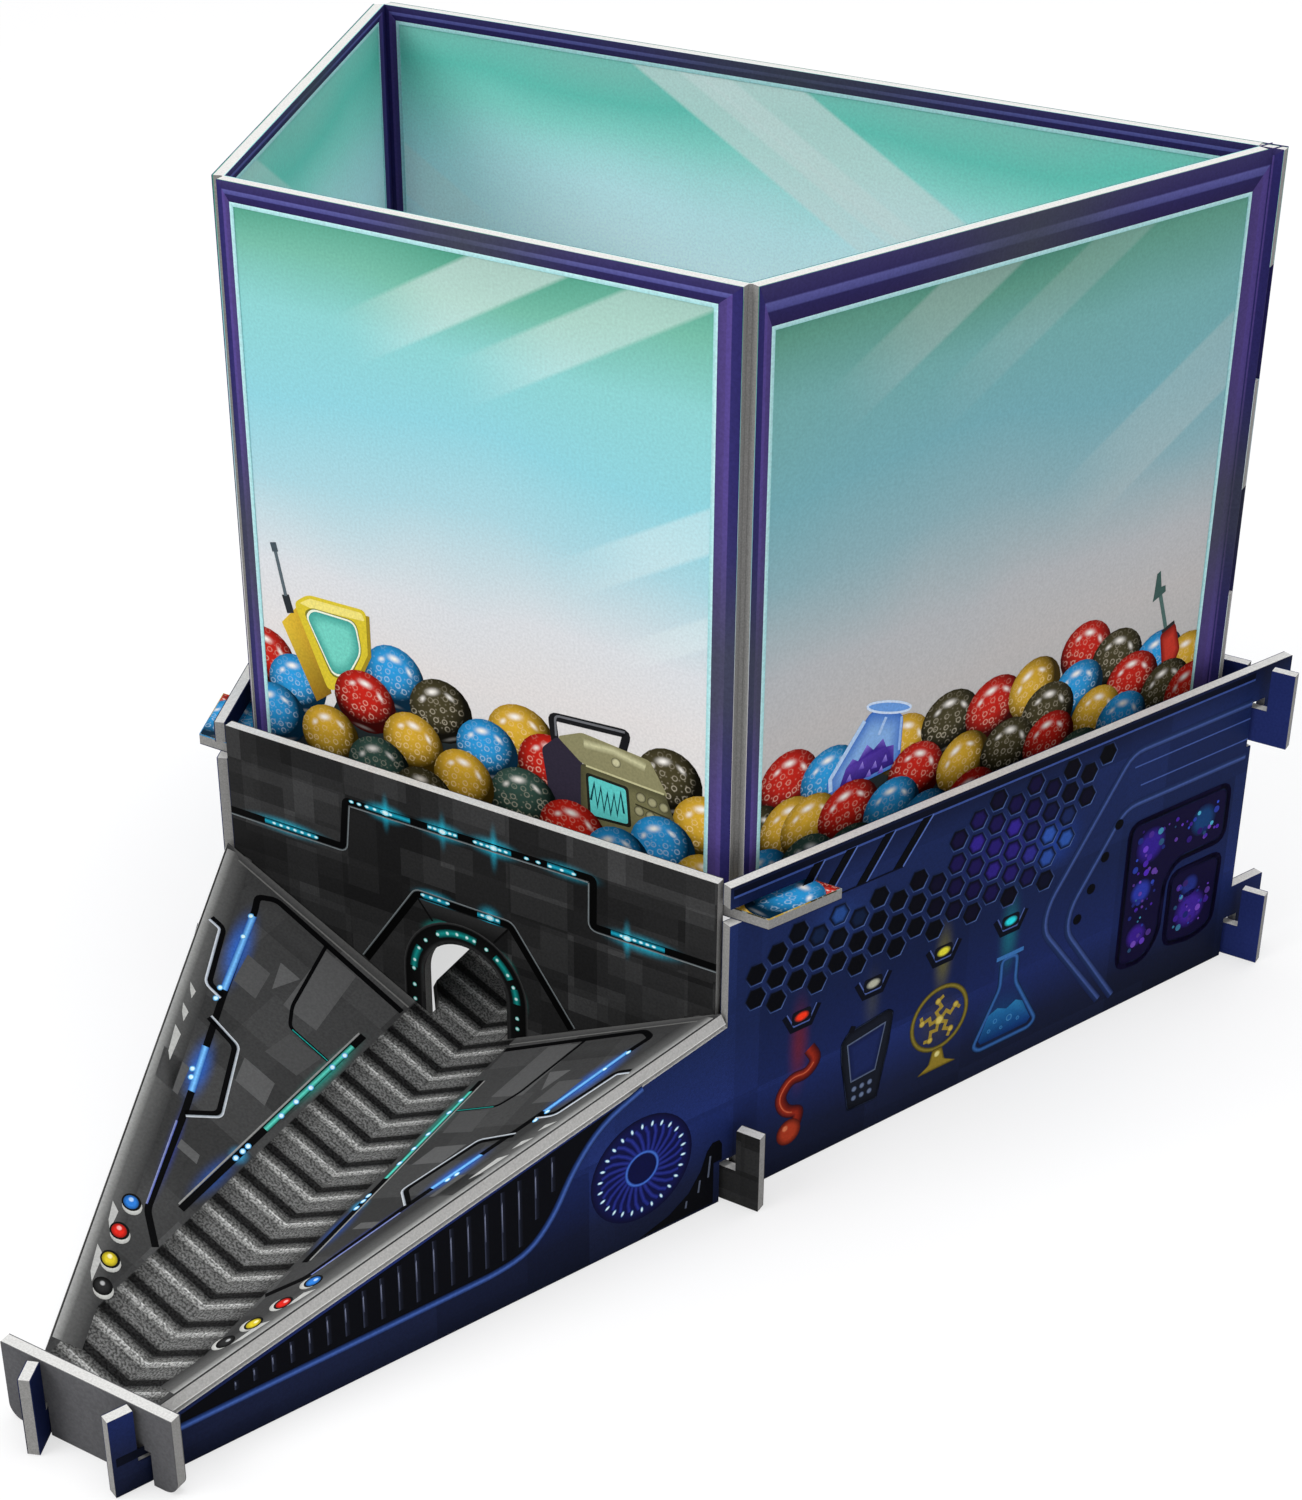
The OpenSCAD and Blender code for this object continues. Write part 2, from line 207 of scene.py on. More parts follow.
def faceOf(printName, boardName):
    # the face's own frame, from its lower left corner as seen from outside
    out = outwardNormal(printName, boardName)
    rise = up if abs(out.z) < 0.7 else Vector((0, 1, 0))
    rise = (rise - out * rise.dot(out)).normalized()
    right = rise.cross(out)
    points = [v.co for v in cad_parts[printName].data.vertices]
    rights = [p.dot(right) for p in points]
    rises = [p.dot(rise) for p in points]
    corner = right * min(rights) + rise * min(rises) + out * max(p.dot(out) for p in points)
    place = Matrix.Translation(corner) @ Matrix((right, rise, out)).transposed().to_4x4()
    return Face(place @ Matrix.Diagonal((mm, mm, mm, 1)),
                (max(rights) - min(rights)) / mm, (max(rises) - min(rises)) / mm)


def rampFace(printName, boardName, side):
    # a ramp half seen in plan: right is the distance from the crease, up runs to the rear
    out = outwardNormal(printName, boardName)
    reach = max(v.co.dot(out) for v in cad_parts[printName].data.vertices)
    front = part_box("stop_front_print")[0].y
    height = (reach - out.y * front) / out.z
    columns = (Vector((side, 0, -out.x / out.z * side)), Vector((0, 1, -out.y / out.z)), out)
    place = Matrix.Translation((0, front, height)) @ Matrix(columns).transposed().to_4x4()
    return Face(place @ Matrix.Diagonal((mm, mm, mm, 1)))


faces = {name: faceOf(name + "_print", name.rsplit("_", 1)[0] + "_board") for name in (
    "stop_front", "stop_back", "left_side_outer", "left_side_inner", "right_side_outer", "right_side_inner",
    "arch_front", "arch_back", "back_inner", "back_outer", "floor_top",
    "tank_front_outer", "tank_front_inner", "tank_right_outer", "tank_right_inner",
    "tank_left_outer", "tank_left_inner", "tank_back_outer", "tank_back_inner")}
faces["ramp_left"] = rampFace("ramp_left_print", "ramp_left_board", -1)
faces["ramp_right"] = rampFace("ramp_right_print", "ramp_right_board", 1)
for name, face in faces.items():
    print("face", name, [round(v, 1) for v in (face.width, face.height)])


def makeGroup(name, inputs):
    # an empty shader group with named inputs and one output, Strength
    tree = bpy.data.node_groups.new(name, "ShaderNodeTree")
    for socketName, kind in inputs:
        tree.interface.new_socket(socketName, in_out="INPUT", socket_type=kind)
    tree.interface.new_socket("Strength", in_out="OUTPUT", socket_type="NodeSocketFloat")
    return tree, addNode(tree, "NodeGroupInput")


def makeGlowGroup():
    # soft light round a centre, longer along its turn than across
    tree, given = makeGroup("glowSpot", [("Point", "NodeSocketVector"), ("Centre", "NodeSocketVector"),
                                         ("Size", "NodeSocketVector"), ("Turn", "NodeSocketFloat")])
    away = addNode(tree, "ShaderNodeVectorMath", {0: given.outputs["Point"], 1: given.outputs["Centre"]},
                   operation="SUBTRACT")
    back = addNode(tree, "ShaderNodeMath", {0: given.outputs["Turn"], 1: -1.0}, operation="MULTIPLY")
    turned = addNode(tree, "ShaderNodeVectorRotate", {"Vector": away, "Angle": back},
                     rotation_type="Z_AXIS")
    flat = addNode(tree, "ShaderNodeVectorMath", {0: turned, 1: (1, 1, 0)}, operation="MULTIPLY")
    scaled = addNode(tree, "ShaderNodeVectorMath", {0: flat, 1: given.outputs["Size"]}, operation="DIVIDE")
    far = addNode(tree, "ShaderNodeVectorMath", {0: scaled}, operation="LENGTH")
    near = addNode(tree, "ShaderNodeMapRange", {"Value": far.outputs["Value"], "From Min": 1.0,
                                                "From Max": 0.0},
                   interpolation_type="SMOOTHSTEP")
    soft = addNode(tree, "ShaderNodeMath", {0: near, 1: 1.6}, operation="POWER")
    addNode(tree, "NodeGroupOutput", {"Strength": soft})
    return tree


def makeStreakGroup():
    # a straight pale band of glare: sharp along its sides, fading in along its length
    tree, given = makeGroup("glareStreak", [("Point", "NodeSocketVector"), ("Start", "NodeSocketVector"),
                                            ("Turn", "NodeSocketFloat"), ("Length", "NodeSocketFloat"),
                                            ("Width", "NodeSocketFloat")])
    away = addNode(tree, "ShaderNodeVectorMath", {0: given.outputs["Point"], 1: given.outputs["Start"]},
                   operation="SUBTRACT")
    back = addNode(tree, "ShaderNodeMath", {0: given.outputs["Turn"], 1: -1.0}, operation="MULTIPLY")
    turned = addNode(tree, "ShaderNodeVectorRotate", {"Vector": away, "Angle": back},
                     rotation_type="Z_AXIS")
    parts = addNode(tree, "ShaderNodeSeparateXYZ", {0: turned})
    edge = 0.35    # mm over which a side of the band turns sharp
    lower = addNode(tree, "ShaderNodeMapRange", {"Value": parts.outputs["Y"], "From Min": -edge,
                                                 "From Max": edge})
    inside = addNode(tree, "ShaderNodeMath", {0: given.outputs["Width"], 1: parts.outputs["Y"]},
                     operation="SUBTRACT")
    upper = addNode(tree, "ShaderNodeMapRange", {"Value": inside, "From Min": -edge, "From Max": edge})
    along = addNode(tree, "ShaderNodeMapRange", {"Value": parts.outputs["X"], "From Min": 0.0,
                                                 "From Max": given.outputs["Length"]},
                    interpolation_type="SMOOTHSTEP")
    band = addNode(tree, "ShaderNodeMath", {0: lower, 1: upper}, operation="MULTIPLY")
    band = addNode(tree, "ShaderNodeMath", {0: band, 1: along}, operation="MULTIPLY")
    addNode(tree, "NodeGroupOutput", {"Strength": band})
    return tree


glowGroup = makeGlowGroup()
streakGroup = makeStreakGroup()


def startMaterial(name):
    material = bpy.data.materials.new(name)
    material.use_nodes = True
    material.node_tree.nodes.clear()
    return material, material.node_tree


def facePoint(tree, face):
    # the surface point in the face's own millimetres, from lower left
    where = addNode(tree, "ShaderNodeTexCoord")
    sign = -1 if face.place.determinant() < 0 else 1
    turn = (face.place @ Matrix.Diagonal((sign, 1, 1, 1))).to_euler()
    return addNode(tree, "ShaderNodeMapping",
                   {"Vector": where.outputs["Object"], "Location": face.place.translation,
                    "Rotation": turn, "Scale": (mm * sign, mm, mm)}, vector_type="TEXTURE")


# the print's and the paper's grain in mm, drawn coarse enough to show
paper = {"speck": 0.45, "fibre": 0.9, "relief": 0.02}


def finishPrint(tree, colour, grain, roughness):
    # offset print on paper: a fine ink grain over the colour, matt with a faint sheen
    where = addNode(tree, "ShaderNodeTexCoord")
    speck = addNode(tree, "ShaderNodeTexNoise", {"Vector": where.outputs["Object"], "Detail": 2.0,
                                                 "Scale": 1 / (paper["speck"] * mm)})
    lift = addNode(tree, "ShaderNodeMapRange", {"Value": speck, "From Min": 0.3, "From Max": 0.7,
                                                "To Min": 1 - grain, "To Max": 1 + grain})
    toned = addNode(tree, "ShaderNodeVectorMath", {0: colour, 1: lift}, operation="MULTIPLY")
    gloss = addNode(tree, "ShaderNodeMapRange", {"Value": speck, "From Min": 0.3, "From Max": 0.7,
                                                 "To Min": roughness - 0.05, "To Max": roughness + 0.06})
    fibre = addNode(tree, "ShaderNodeTexNoise", {"Vector": where.outputs["Object"], "Detail": 3.0,
                                                  "Scale": 1 / (paper["fibre"] * mm)})
    bump = addNode(tree, "ShaderNodeBump", {"Height": fibre, "Distance": paper["relief"] * mm,
                                            "Strength": 0.4})
    liner = addNode(tree, "ShaderNodeBsdfPrincipled",
                    {"Base Color": toned, "Roughness": gloss, "Normal": bump, "Specular IOR Level": 0.02})
    addNode(tree, "ShaderNodeOutputMaterial", {"Surface": liner})


def addGlows(tree, point, colour, glows):
    # each glow is (right, up, half length, half width, degrees, hex colour, strength)
    for right, rise, long, wide, degrees, shade, strength in glows:
        spot = addNode(tree, "ShaderNodeGroup",
                       {"Point": point, "Centre": (right, rise, 0), "Size": (long, wide, 1),
                        "Turn": math.radians(degrees)}, node_tree=glowGroup)
        share = addNode(tree, "ShaderNodeMath", {0: spot, 1: strength}, operation="MULTIPLY")
        colour = addNode(tree, "ShaderNodeMixRGB", {"Fac": share, "Color1": colour,
                                                    "Color2": toLinear(shade)})
    return colour


def addBlocks(tree, point, colour, blocks):
    # offset rectangles of slightly different tone; each is (width, height, shift, contrast)
    for width, height, shift, contrast in blocks:
        moved = addNode(tree, "ShaderNodeVectorMath", {0: point, 1: (shift, shift * 0.7, 0)},
                        operation="ADD")
        cell = addNode(tree, "ShaderNodeVectorMath", {0: moved, 1: (width, height, 500)}, operation="SNAP")
        pick = addNode(tree, "ShaderNodeTexWhiteNoise", {"Vector": cell})
        tone = addNode(tree, "ShaderNodeMapRange", {"Value": pick.outputs["Value"], "From Min": 0.35,
                                                    "From Max": 1.0, "To Min": 1.0, "To Max": 1 + contrast})
        colour = addNode(tree, "ShaderNodeVectorMath", {0: colour, 1: tone}, operation="MULTIPLY")
    return colour


# greyboard: pressed recycled fibre, so the cut edge is grey, matt and speckled;
# side is the tone of an edge that faces sideways, upper the tone of one that faces up, painted paler as
# painted light from above
greyboard = {"side": [(0.3, "#7e7d7b"), (0.7, "#9a9996")], "upper": [(0.3, "#bebdba"), (0.7, "#dddcd9")],
             "grain": 0.32, "roughness": 0.9}


def greyboardMaterial():
    material, tree = startMaterial("greyboardCutEdgePaintedToplight")
    where = addNode(tree, "ShaderNodeTexCoord")
    pulp = addNode(tree, "ShaderNodeTexNoise", {"Vector": where.outputs["Object"], "Detail": 4.0,
                                                "Scale": 1 / (greyboard["grain"] * mm), "Roughness": 0.7})
    side, upper = (addNode(tree, "ShaderNodeValToRGB", {"Fac": pulp}, stops=greyboard[key])
                   for key in ("side", "upper"))
    # painted light: edges that face up are painted paler than the others, as if lit from above
    facing = addNode(tree, "ShaderNodeNewGeometry")
    rise = addNode(tree, "ShaderNodeSeparateXYZ", {0: facing.outputs["True Normal"]})
    share = addNode(tree, "ShaderNodeMapRange", {"Value": rise.outputs["Z"], "From Min": 0.1,
                                                 "From Max": 0.7})
    tone = addNode(tree, "ShaderNodeMixRGB", {"Fac": share, "Color1": side, "Color2": upper})
    bump = addNode(tree, "ShaderNodeBump", {"Height": pulp, "Distance": 0.04 * mm, "Strength": 0.5})
    board = addNode(tree, "ShaderNodeBsdfPrincipled",
                    {"Base Color": tone, "Roughness": greyboard["roughness"], "Normal": bump,
                     "Specular IOR Level": 0.1})
    addNode(tree, "ShaderNodeOutputMaterial", {"Surface": board})
    return material


# stops run from a wall's foot to its top, as shares of its height
glassPrint = {
    "outer": [(0.0, "#d6d6d3"), (0.24, "#e0dcda"), (0.36, "#d9dcdf"), (0.52, "#a9d3dc"), (0.66, "#8fd0da"),
              (0.80, "#8ccfcd"), (0.90, "#74b9a4"), (0.98, "#4c9a80")],
    "inner": [(0.0, "#e6fbff"), (0.62, "#dffaff"), (0.71, "#d2f8fc"), (0.775, "#bcf2f0"), (0.84, "#98e6da"),
              (0.90, "#74d4c4"), (0.96, "#88d2c4"), (1.0, "#8cd4c8")],
    "glare": "#e9f3f1",
    "paintedShade": {"tank_right_outer": 0.72},    # walls painted darker than the others, as painted shade on a wall turned away from the light
}
# (start right, start up, degrees, length to full, width, strength), as seen from outside
glareStreaks = {
    "tank_front_outer": [(24, 73, 29.5, 26, 8.6, 0.42), (44, 70, 29.5, 26, 7.5, 0.34),
                         (62, 42, 29.5, 24, 6.5, 0.34), (72, 32, 29.5, 16, 4.5, 0.26)],
    "tank_right_outer": [(16, 72, 29.5, 26, 8.6, 0.30), (34, 66, 29.5, 30, 7.0, 0.16),
                         (64, 38, 29.5, 30, 12.0, 0.28)],
    "tank_back_outer": [(30, 72, 29.5, 26, 8.6, 0.36), (52, 70, 29.5, 26, 7.0, 0.24),
                        (110, 40, 29.5, 28, 11.0, 0.28)],
    "tank_left_outer": [(20, 72, 29.5, 26, 8.6, 0.36), (40, 68, 29.5, 28, 7.0, 0.22),
                        (66, 38, 29.5, 26, 9.0, 0.28)],
    "tank_back_inner": [(118, 68, 150, 24, 7.0, 0.6), (128, 66, 150, 24, 5.5, 0.45),
                        (136, 70, 150, 20, 11.0, 0.62), (30, 58, 150, 20, 9.0, 0.45)],
    "tank_left_inner": [(64, 70, 150, 34, 8.6, 0.34), (50, 64, 150, 34, 7.0, 0.22)],
}


def glassMaterial(name):
    # a printed picture of glass: green at the top, turquoise, then pale grey, with glare streaks
    material, tree = startMaterial(name + "Print")
    face = faces[name]
    point = facePoint(tree, face)
    parts = addNode(tree, "ShaderNodeSeparateXYZ", {0: point})
    drift = addNode(tree, "ShaderNodeTexNoise", {"Vector": point, "Scale": 0.025, "Detail": 1.0})
    lift = addNode(tree, "ShaderNodeMapRange", {"Value": drift, "From Min": 0.3, "From Max": 0.7,
                                                "To Min": -2.5, "To Max": 2.5})
    level = addNode(tree, "ShaderNodeMath", {0: parts.outputs["Y"], 1: lift}, operation="ADD")
    share = addNode(tree, "ShaderNodeMath", {0: level, 1: face.height}, operation="DIVIDE")
    colour = addNode(tree, "ShaderNodeValToRGB", {"Fac": share}, stops=glassPrint[name.rsplit("_", 1)[1]])
    for right, rise, degrees, length, width, strength in glareStreaks.get(name, []):
        streak = addNode(tree, "ShaderNodeGroup",
                         {"Point": point, "Start": (right, rise, 0), "Turn": math.radians(degrees),
                          "Length": float(length), "Width": width}, node_tree=streakGroup)
        share = addNode(tree, "ShaderNodeMath", {0: streak, 1: strength}, operation="MULTIPLY")
        colour = addNode(tree, "ShaderNodeMixRGB", {"Fac": share, "Color1": colour,
                                                    "Color2": toLinear(glassPrint["glare"])})
    # painted shade: a wall turned from the light is darkened by its factor
    shade = glassPrint["paintedShade"].get(name, 1.0)
    colour = addNode(tree, "ShaderNodeVectorMath", {0: colour, 1: (shade, shade, shade)},
                     operation="MULTIPLY")
    finishPrint(tree, colour, 0.07, 0.5)
    return material


cyan = "#25c8e6"
archPrint = {
    "tone": "#1b1b1b",
    "blocks": [(11.0, 7.0, 1.3, 1.3), (6.5, 5.0, 4.1, 0.8), (17.0, 12.0, 7.7, 0.6)],
    # glows are (right, up, half length, half width, degrees, colour, strength); right is from the middle
    "glows": [(-36, 44.4, 12, 2.2, 0, cyan, 0.8), (-15, 53.9, 6, 2.6, 0, cyan, 0.8),
              (-15, 54, 1.2, 5, 0, cyan, 0.5),
              (-3.5, 54, 7, 2.6, 0, cyan, 0.7), (-3.5, 54, 1.2, 5, 0, cyan, 0.4),
              (6.6, 54.1, 7, 2.6, 0, cyan, 0.8),
              (6.6, 54, 1.2, 6, 0, cyan, 0.5), (21, 54.2, 8, 2.2, 0, cyan, 0.5),
              (35, 45, 10, 2.6, 0, cyan, 0.8),
              (32, 45, 1.2, 5, 0, cyan, 0.5), (-5.5, 40.1, 6, 2.2, 0, cyan, 0.7),
              (5.5, 40.1, 3.5, 3.2, 0, cyan, 0.7),
              (-4, 34.5, 6, 2.6, 15, "#20d0c0", 0.8), (-10.5, 25, 5, 2.2, 85, "#20d0c0", 0.6),
              (8.5, 31.5, 4, 2.4, -50, "#20d0c0", 0.5), (11.3, 25, 4, 2, -85, "#20d0c0", 0.5)],
}


def archMaterial():
    # charcoal print of patched plating, lit by rows of small cyan lamps
    material, tree = startMaterial("archPlatingPrint")
    point = facePoint(tree, faces["arch_front"].fromMiddle())
    colour = addBlocks(tree, point, toLinear(archPrint["tone"])[:3], archPrint["blocks"])
    colour = addGlows(tree, point, colour, archPrint["glows"])
    finishPrint(tree, colour, 0.16, 0.6)
    return material


sidePrint = {
    "stops": [(0.0, "#0f1426"), (0.12, "#121830"), (0.30, "#172352"), (0.55, "#131e42"), (0.9, "#16224a"),
              (1.0, "#0e142c")],
    "blocks": [(29.0, 21.0, 3.0, 0.7), (46.0, 17.0, 20.0, 0.5)],
    "glows": [(126.6, 25, 14, 3.4, 90, "#7a2018", 0.6), (142.4, 27, 10, 3.2, 90, "#505248", 0.4),
              (158.3, 29, 11, 3.2, 90, "#7c7626", 0.55), (173.8, 28, 13, 3.6, 90, "#1a7886", 0.6),
              (158.2, 16, 8.5, 8.5, 0, "#4a4420", 0.5), (173.8, 11, 9, 8, 0, "#184a80", 0.5),
              (94.4, 14.6, 12, 12, 0, "#24349a", 0.45), (172, 46, 18, 10, 0, "#2c2884", 0.5),
              (183, 43, 9, 8, 0, "#2850b8", 0.5), (134, 46, 11, 7, 0, "#284488", 0.5)],
}


def sideMaterial(name, face):
    # navy print of bodywork: tone steps between its pressed panels, and coloured lamp light
    material, tree = startMaterial(name)
    point = facePoint(tree, face)
    parts = addNode(tree, "ShaderNodeSeparateXYZ", {0: point})
    share = addNode(tree, "ShaderNodeMath", {0: parts.outputs["Y"], 1: face.height}, operation="DIVIDE")
    colour = addNode(tree, "ShaderNodeValToRGB", {"Fac": share}, stops=sidePrint["stops"])
    colour = addBlocks(tree, point, colour, sidePrint["blocks"])
    colour = addGlows(tree, point, colour, sidePrint["glows"])
    finishPrint(tree, colour, 0.12, 0.5)
    return material


def plainPrintMaterial(name, shade, blocks):
    # a liner printed one dark tone, broken by faint patches
    material, tree = startMaterial(name)
    where = addNode(tree, "ShaderNodeTexCoord")
    point = addNode(tree, "ShaderNodeVectorMath", {0: where.outputs["Object"], 1: (1 / mm, 1 / mm, 1 / mm)},
                    operation="MULTIPLY")
    patch = addNode(tree, "ShaderNodeTexNoise", {"Vector": point, "Scale": blocks, "Detail": 1.0})
    tone = addNode(tree, "ShaderNodeMapRange", {"Value": patch, "From Min": 0.3, "From Max": 0.7,
                                                "To Min": 0.88, "To Max": 1.14})
    colour = addNode(tree, "ShaderNodeVectorMath", {0: toLinear(shade)[:3], 1: tone}, operation="MULTIPLY")
    finishPrint(tree, colour, 0.12, 0.65)
    return material


stairPrint = {
    "firstStep": 12.1,      # plan distance from the front of the stop plate, mm
    "pitch": 6.8,
    "halfWidth": 10.2,
    # tones over one step, from the front of its nosing to the rear of its tread
    "step": [(0.0, "#7c7c7a"), (0.12, "#9a9a98"), (0.145, "#b4b4b2"), (0.17, "#737371"), (0.30, "#4c4c4b"),
             (0.36, "#383838"), (0.38, "#1b1b1b"), (0.56, "#202020"), (0.59, "#4d4d4c"), (0.70, "#636362"),
             (0.98, "#5a5a59"), (1.0, "#7c7c7a")],
    "wing": "#363636",
    "blocks": [(13.0, 9.0, 2.0, 0.55), (8.0, 14.0, 6.0, 0.35)],
    "glows": [(11.8, 74, 14, 2.1, 90, "#16a090", 0.7), (12.2, 45, 9, 2.8, 90, "#2058b0", 0.6),
              (11.9, 51, 2.6, 2.2, 90, "#38b8f0", 0.6), (35.2, 82, 12, 3.4, 69, "#2a6fd8", 0.75),
              (25.4, 58.5, 9, 3.0, 68, "#2a6fd8", 0.7), (19.5, 44, 14, 1.6, 68, "#3448a8", 0.5),
              (18, 33, 12, 14, 0, "#6a6a6a", 0.12), (30, 92, 18, 5, 0, "#6a6a6a", 0.10)],
}


def rampMaterial(name, side):
    # print of a stairway between two dark wings; a tread's tones repeat once a step
    material, tree = startMaterial(name)
    where = addNode(tree, "ShaderNodeTexCoord")
    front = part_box("stop_front_print")[0].y
    moved = addNode(tree, "ShaderNodeVectorMath", {0: where.outputs["Object"], 1: (0, front, 0)},
                    operation="SUBTRACT")
    point = addNode(tree, "ShaderNodeVectorMath", {0: moved, 1: (side / mm, 1 / mm, 0)},
                    operation="MULTIPLY")
    parts = addNode(tree, "ShaderNodeSeparateXYZ", {0: point})
    along = addNode(tree, "ShaderNodeMath", {0: parts.outputs["Y"], 1: stairPrint["firstStep"]},
                    operation="SUBTRACT")
    steps = addNode(tree, "ShaderNodeMath", {0: along, 1: stairPrint["pitch"]}, operation="DIVIDE")
    share = addNode(tree, "ShaderNodeMath", {0: steps}, operation="FRACT")
    tread = addNode(tree, "ShaderNodeValToRGB", {"Fac": share}, stops=stairPrint["step"])
    speck = addNode(tree, "ShaderNodeTexNoise", {"Vector": point, "Scale": 2.6, "Detail": 1.0})
    rough = addNode(tree, "ShaderNodeMapRange", {"Value": speck, "From Min": 0.38, "From Max": 0.62,
                                                 "To Min": 0.45, "To Max": 1.6})
    tread = addNode(tree, "ShaderNodeVectorMath", {0: tread, 1: rough}, operation="MULTIPLY")
    fade = addNode(tree, "ShaderNodeMapRange", {"Value": parts.outputs["X"], "To Min": 1.0, "To Max": 0.55,
                                                "From Min": 6.0, "From Max": 10.0},
                   interpolation_type="SMOOTHSTEP")
    tread = addNode(tree, "ShaderNodeVectorMath", {0: tread, 1: fade}, operation="MULTIPLY")
    wing = addBlocks(tree, point, toLinear(stairPrint["wing"])[:3], stairPrint["blocks"])
    wing = addGlows(tree, point, wing, stairPrint["glows"])
    half = stairPrint["halfWidth"]
    beyond = addNode(tree, "ShaderNodeMapRange", {"Value": parts.outputs["X"], "From Min": half - 0.1,
                                                  "From Max": half + 0.1})
    both = addNode(tree, "ShaderNodeMixRGB", {"Fac": beyond, "Color1": tread, "Color2": wing})
    finishPrint(tree, both, 0.14, 0.58)
    return material


eggBedPrint = {
    "egg": 11,           # mm from one egg to the next
    "bubble": 1.9,       # mm from one bubble to the next
    "tones": [(0.0, "#2a94cc"), (0.42, "#c9a538"), (0.66, "#b8241c"), (0.86, "#4a4630")],
    "ring": [(0.0, "#404040"), (0.22, "#303030"), (0.3, "#d8d8d8"), (0.4, "#202020"), (0.6, "#000000")],
    "ringTone": "#b8ccce",
    "shade": [(0.0, "#ffffff"), (0.4, "#d8d8d8"), (0.75, "#4a4a4a")],
}


def eggBedMaterial():
    # print of packed glossy eggs, cell by cell, on the hopper floor
    material, tree = startMaterial("eggBedPrint")
    where = addNode(tree, "ShaderNodeTexCoord")
    egg, bubble = (addNode(tree, "ShaderNodeTexVoronoi", {"Vector": where.outputs["Object"],
                                                          "Randomness": loose,
                                                          "Scale": 1 / (eggBedPrint[key] * mm)},
                           voronoi_dimensions="2D") for key, loose in (("egg", 0.75), ("bubble", 1.0)))
    pick = addNode(tree, "ShaderNodeSeparateColor", {0: egg.outputs["Color"]})
    tone = addNode(tree, "ShaderNodeValToRGB", {"Fac": pick}, stops=eggBedPrint["tones"])
    tone.color_ramp.interpolation = "CONSTANT"
    ring = addNode(tree, "ShaderNodeValToRGB", {"Fac": bubble}, stops=eggBedPrint["ring"])
    pale = addNode(tree, "ShaderNodeMixRGB", {"Fac": ring, "Color1": tone,
                                              "Color2": toLinear(eggBedPrint["ringTone"])})
    shade = addNode(tree, "ShaderNodeValToRGB", {"Fac": egg}, stops=eggBedPrint["shade"])
    toned = addNode(tree, "ShaderNodeMixRGB", {"Fac": 1.0, "Color1": pale, "Color2": shade},
                    blend_type="MULTIPLY")
    finishPrint(tree, toned, 0.08, 0.45)
    return material


sideFaces = {"right": faces["right_side_outer"], "left": faces["left_side_outer"].mirrored()}
board = greyboardMaterial()
lining = plainPrintMaterial("darkNavyLining", "#182042", 0.05)
charcoal = plainPrintMaterial("charcoalPrint", "#3f3f40", 0.06)
stopGrey = plainPrintMaterial("stopPlateGreyPrint", "#58585a", 0.06)
backPrint = plainPrintMaterial("navyBackPrint", "#242f66", 0.05)
barePaper = plainPrintMaterial("barePaperLiner", "#d6d6d4", 0.05)
printMaterials = {
    "right_side_outer_print": sideMaterial("rightSidePrint", sideFaces["right"]),
    "left_side_outer_print": sideMaterial("leftSidePrint", sideFaces["left"]),
    "arch_front_print": archMaterial(),
    "ramp_left_print": rampMaterial("leftRampPrint", -1),
    "ramp_right_print": rampMaterial("rightRampPrint", 1),
    "floor_top_print": eggBedMaterial(),
    "stop_front_print": stopGrey,
    "stop_back_print": stopGrey,
    "arch_back_print": charcoal,
    "back_inner_print": backPrint,
    "back_outer_print": backPrint,
    "ramp_left_under_print": barePaper,
    "ramp_right_under_print": barePaper,
}
for name in faces:
    if name.startswith("tank_"):
        printMaterials[name + "_print"] = glassMaterial(name)
for name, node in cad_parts.items():
    material = printMaterials.get(name, lining if name.endswith("_print") else board)
    node.data.materials.clear()
    node.data.materials.append(material)
print("liners and boards painted")

inkCoat = 0.012    # mm between one printed coat and the next


def circlePoints(centre, radius, count, start=0.0, sweep=360.0, flat=1.0):
    # points round a circle or an ellipse; an open arc includes its last point
    steps = count if sweep == 360.0 else count - 1
    angles = [math.radians(start + sweep * i / steps) for i in range(count)]
    return [(centre[0] + radius * math.cos(a), centre[1] + radius * flat * math.sin(a)) for a in angles]


def roundedPath(points, radius, closed=False, steps=4):
    # the same path with its corners turned on short curves
    path = []
    count = len(points)
    for i, point in enumerate(points):
        here = Vector(point)
        if not closed and i in (0, count - 1):
            path.append(tuple(here))
            continue
        before, after = Vector(points[i - 1]) - here, Vector(points[(i + 1) % count]) - here
        cut = min(radius, before.length / 2, after.length / 2)
        first, last = here + before.normalized() * cut, here + after.normalized() * cut
        for k in range(steps + 1):
            t = k / steps
            path.append(tuple(first * (1 - t) ** 2 + here * 2 * t * (1 - t) + last * t ** 2))
    return [p for i, p in enumerate(path) if math.dist(p, path[i - 1]) > 0.02 or (i == 0 and not closed)]


def offsetPath(points, distance, closed=False):
    # the path moved sideways, to the left of its direction, with mitred corners
    count = len(points)
    moved = []
    for i in range(count):
        here = Vector(points[i])
        before = here - Vector(points[i - 1]) if closed or i > 0 else Vector(points[1]) - here
        after = Vector(points[(i + 1) % count]) - here if closed or i < count - 1 else before
        before, after = before.normalized(), after.normalized()
        normal = Vector((-before.y - after.y, before.x + after.x))
        normal = normal.normalized() if normal.length > 1e-6 else Vector((-before.y, before.x))
        mitre = max(0.35, normal.dot(Vector((-before.y, before.x))))
        moved.append(tuple(here + normal * distance / mitre))
    return moved


def shrunk(points, share):
    # the same outline drawn smaller round its middle
    middle = sum((Vector(p) for p in points), Vector((0, 0))) / len(points)
    return [tuple(middle + (Vector(p) - middle) * share) for p in points]


def stripFaces(lines, size, closed=False):
    # four-sided faces between each line of points and the next
    steps = size if closed else size - 1
    return [(r * size + i, r * size + (i + 1) % size, (r + 1) * size + (i + 1) % size, (r + 1) * size + i)
            for r in range(lines - 1) for i in range(steps)]


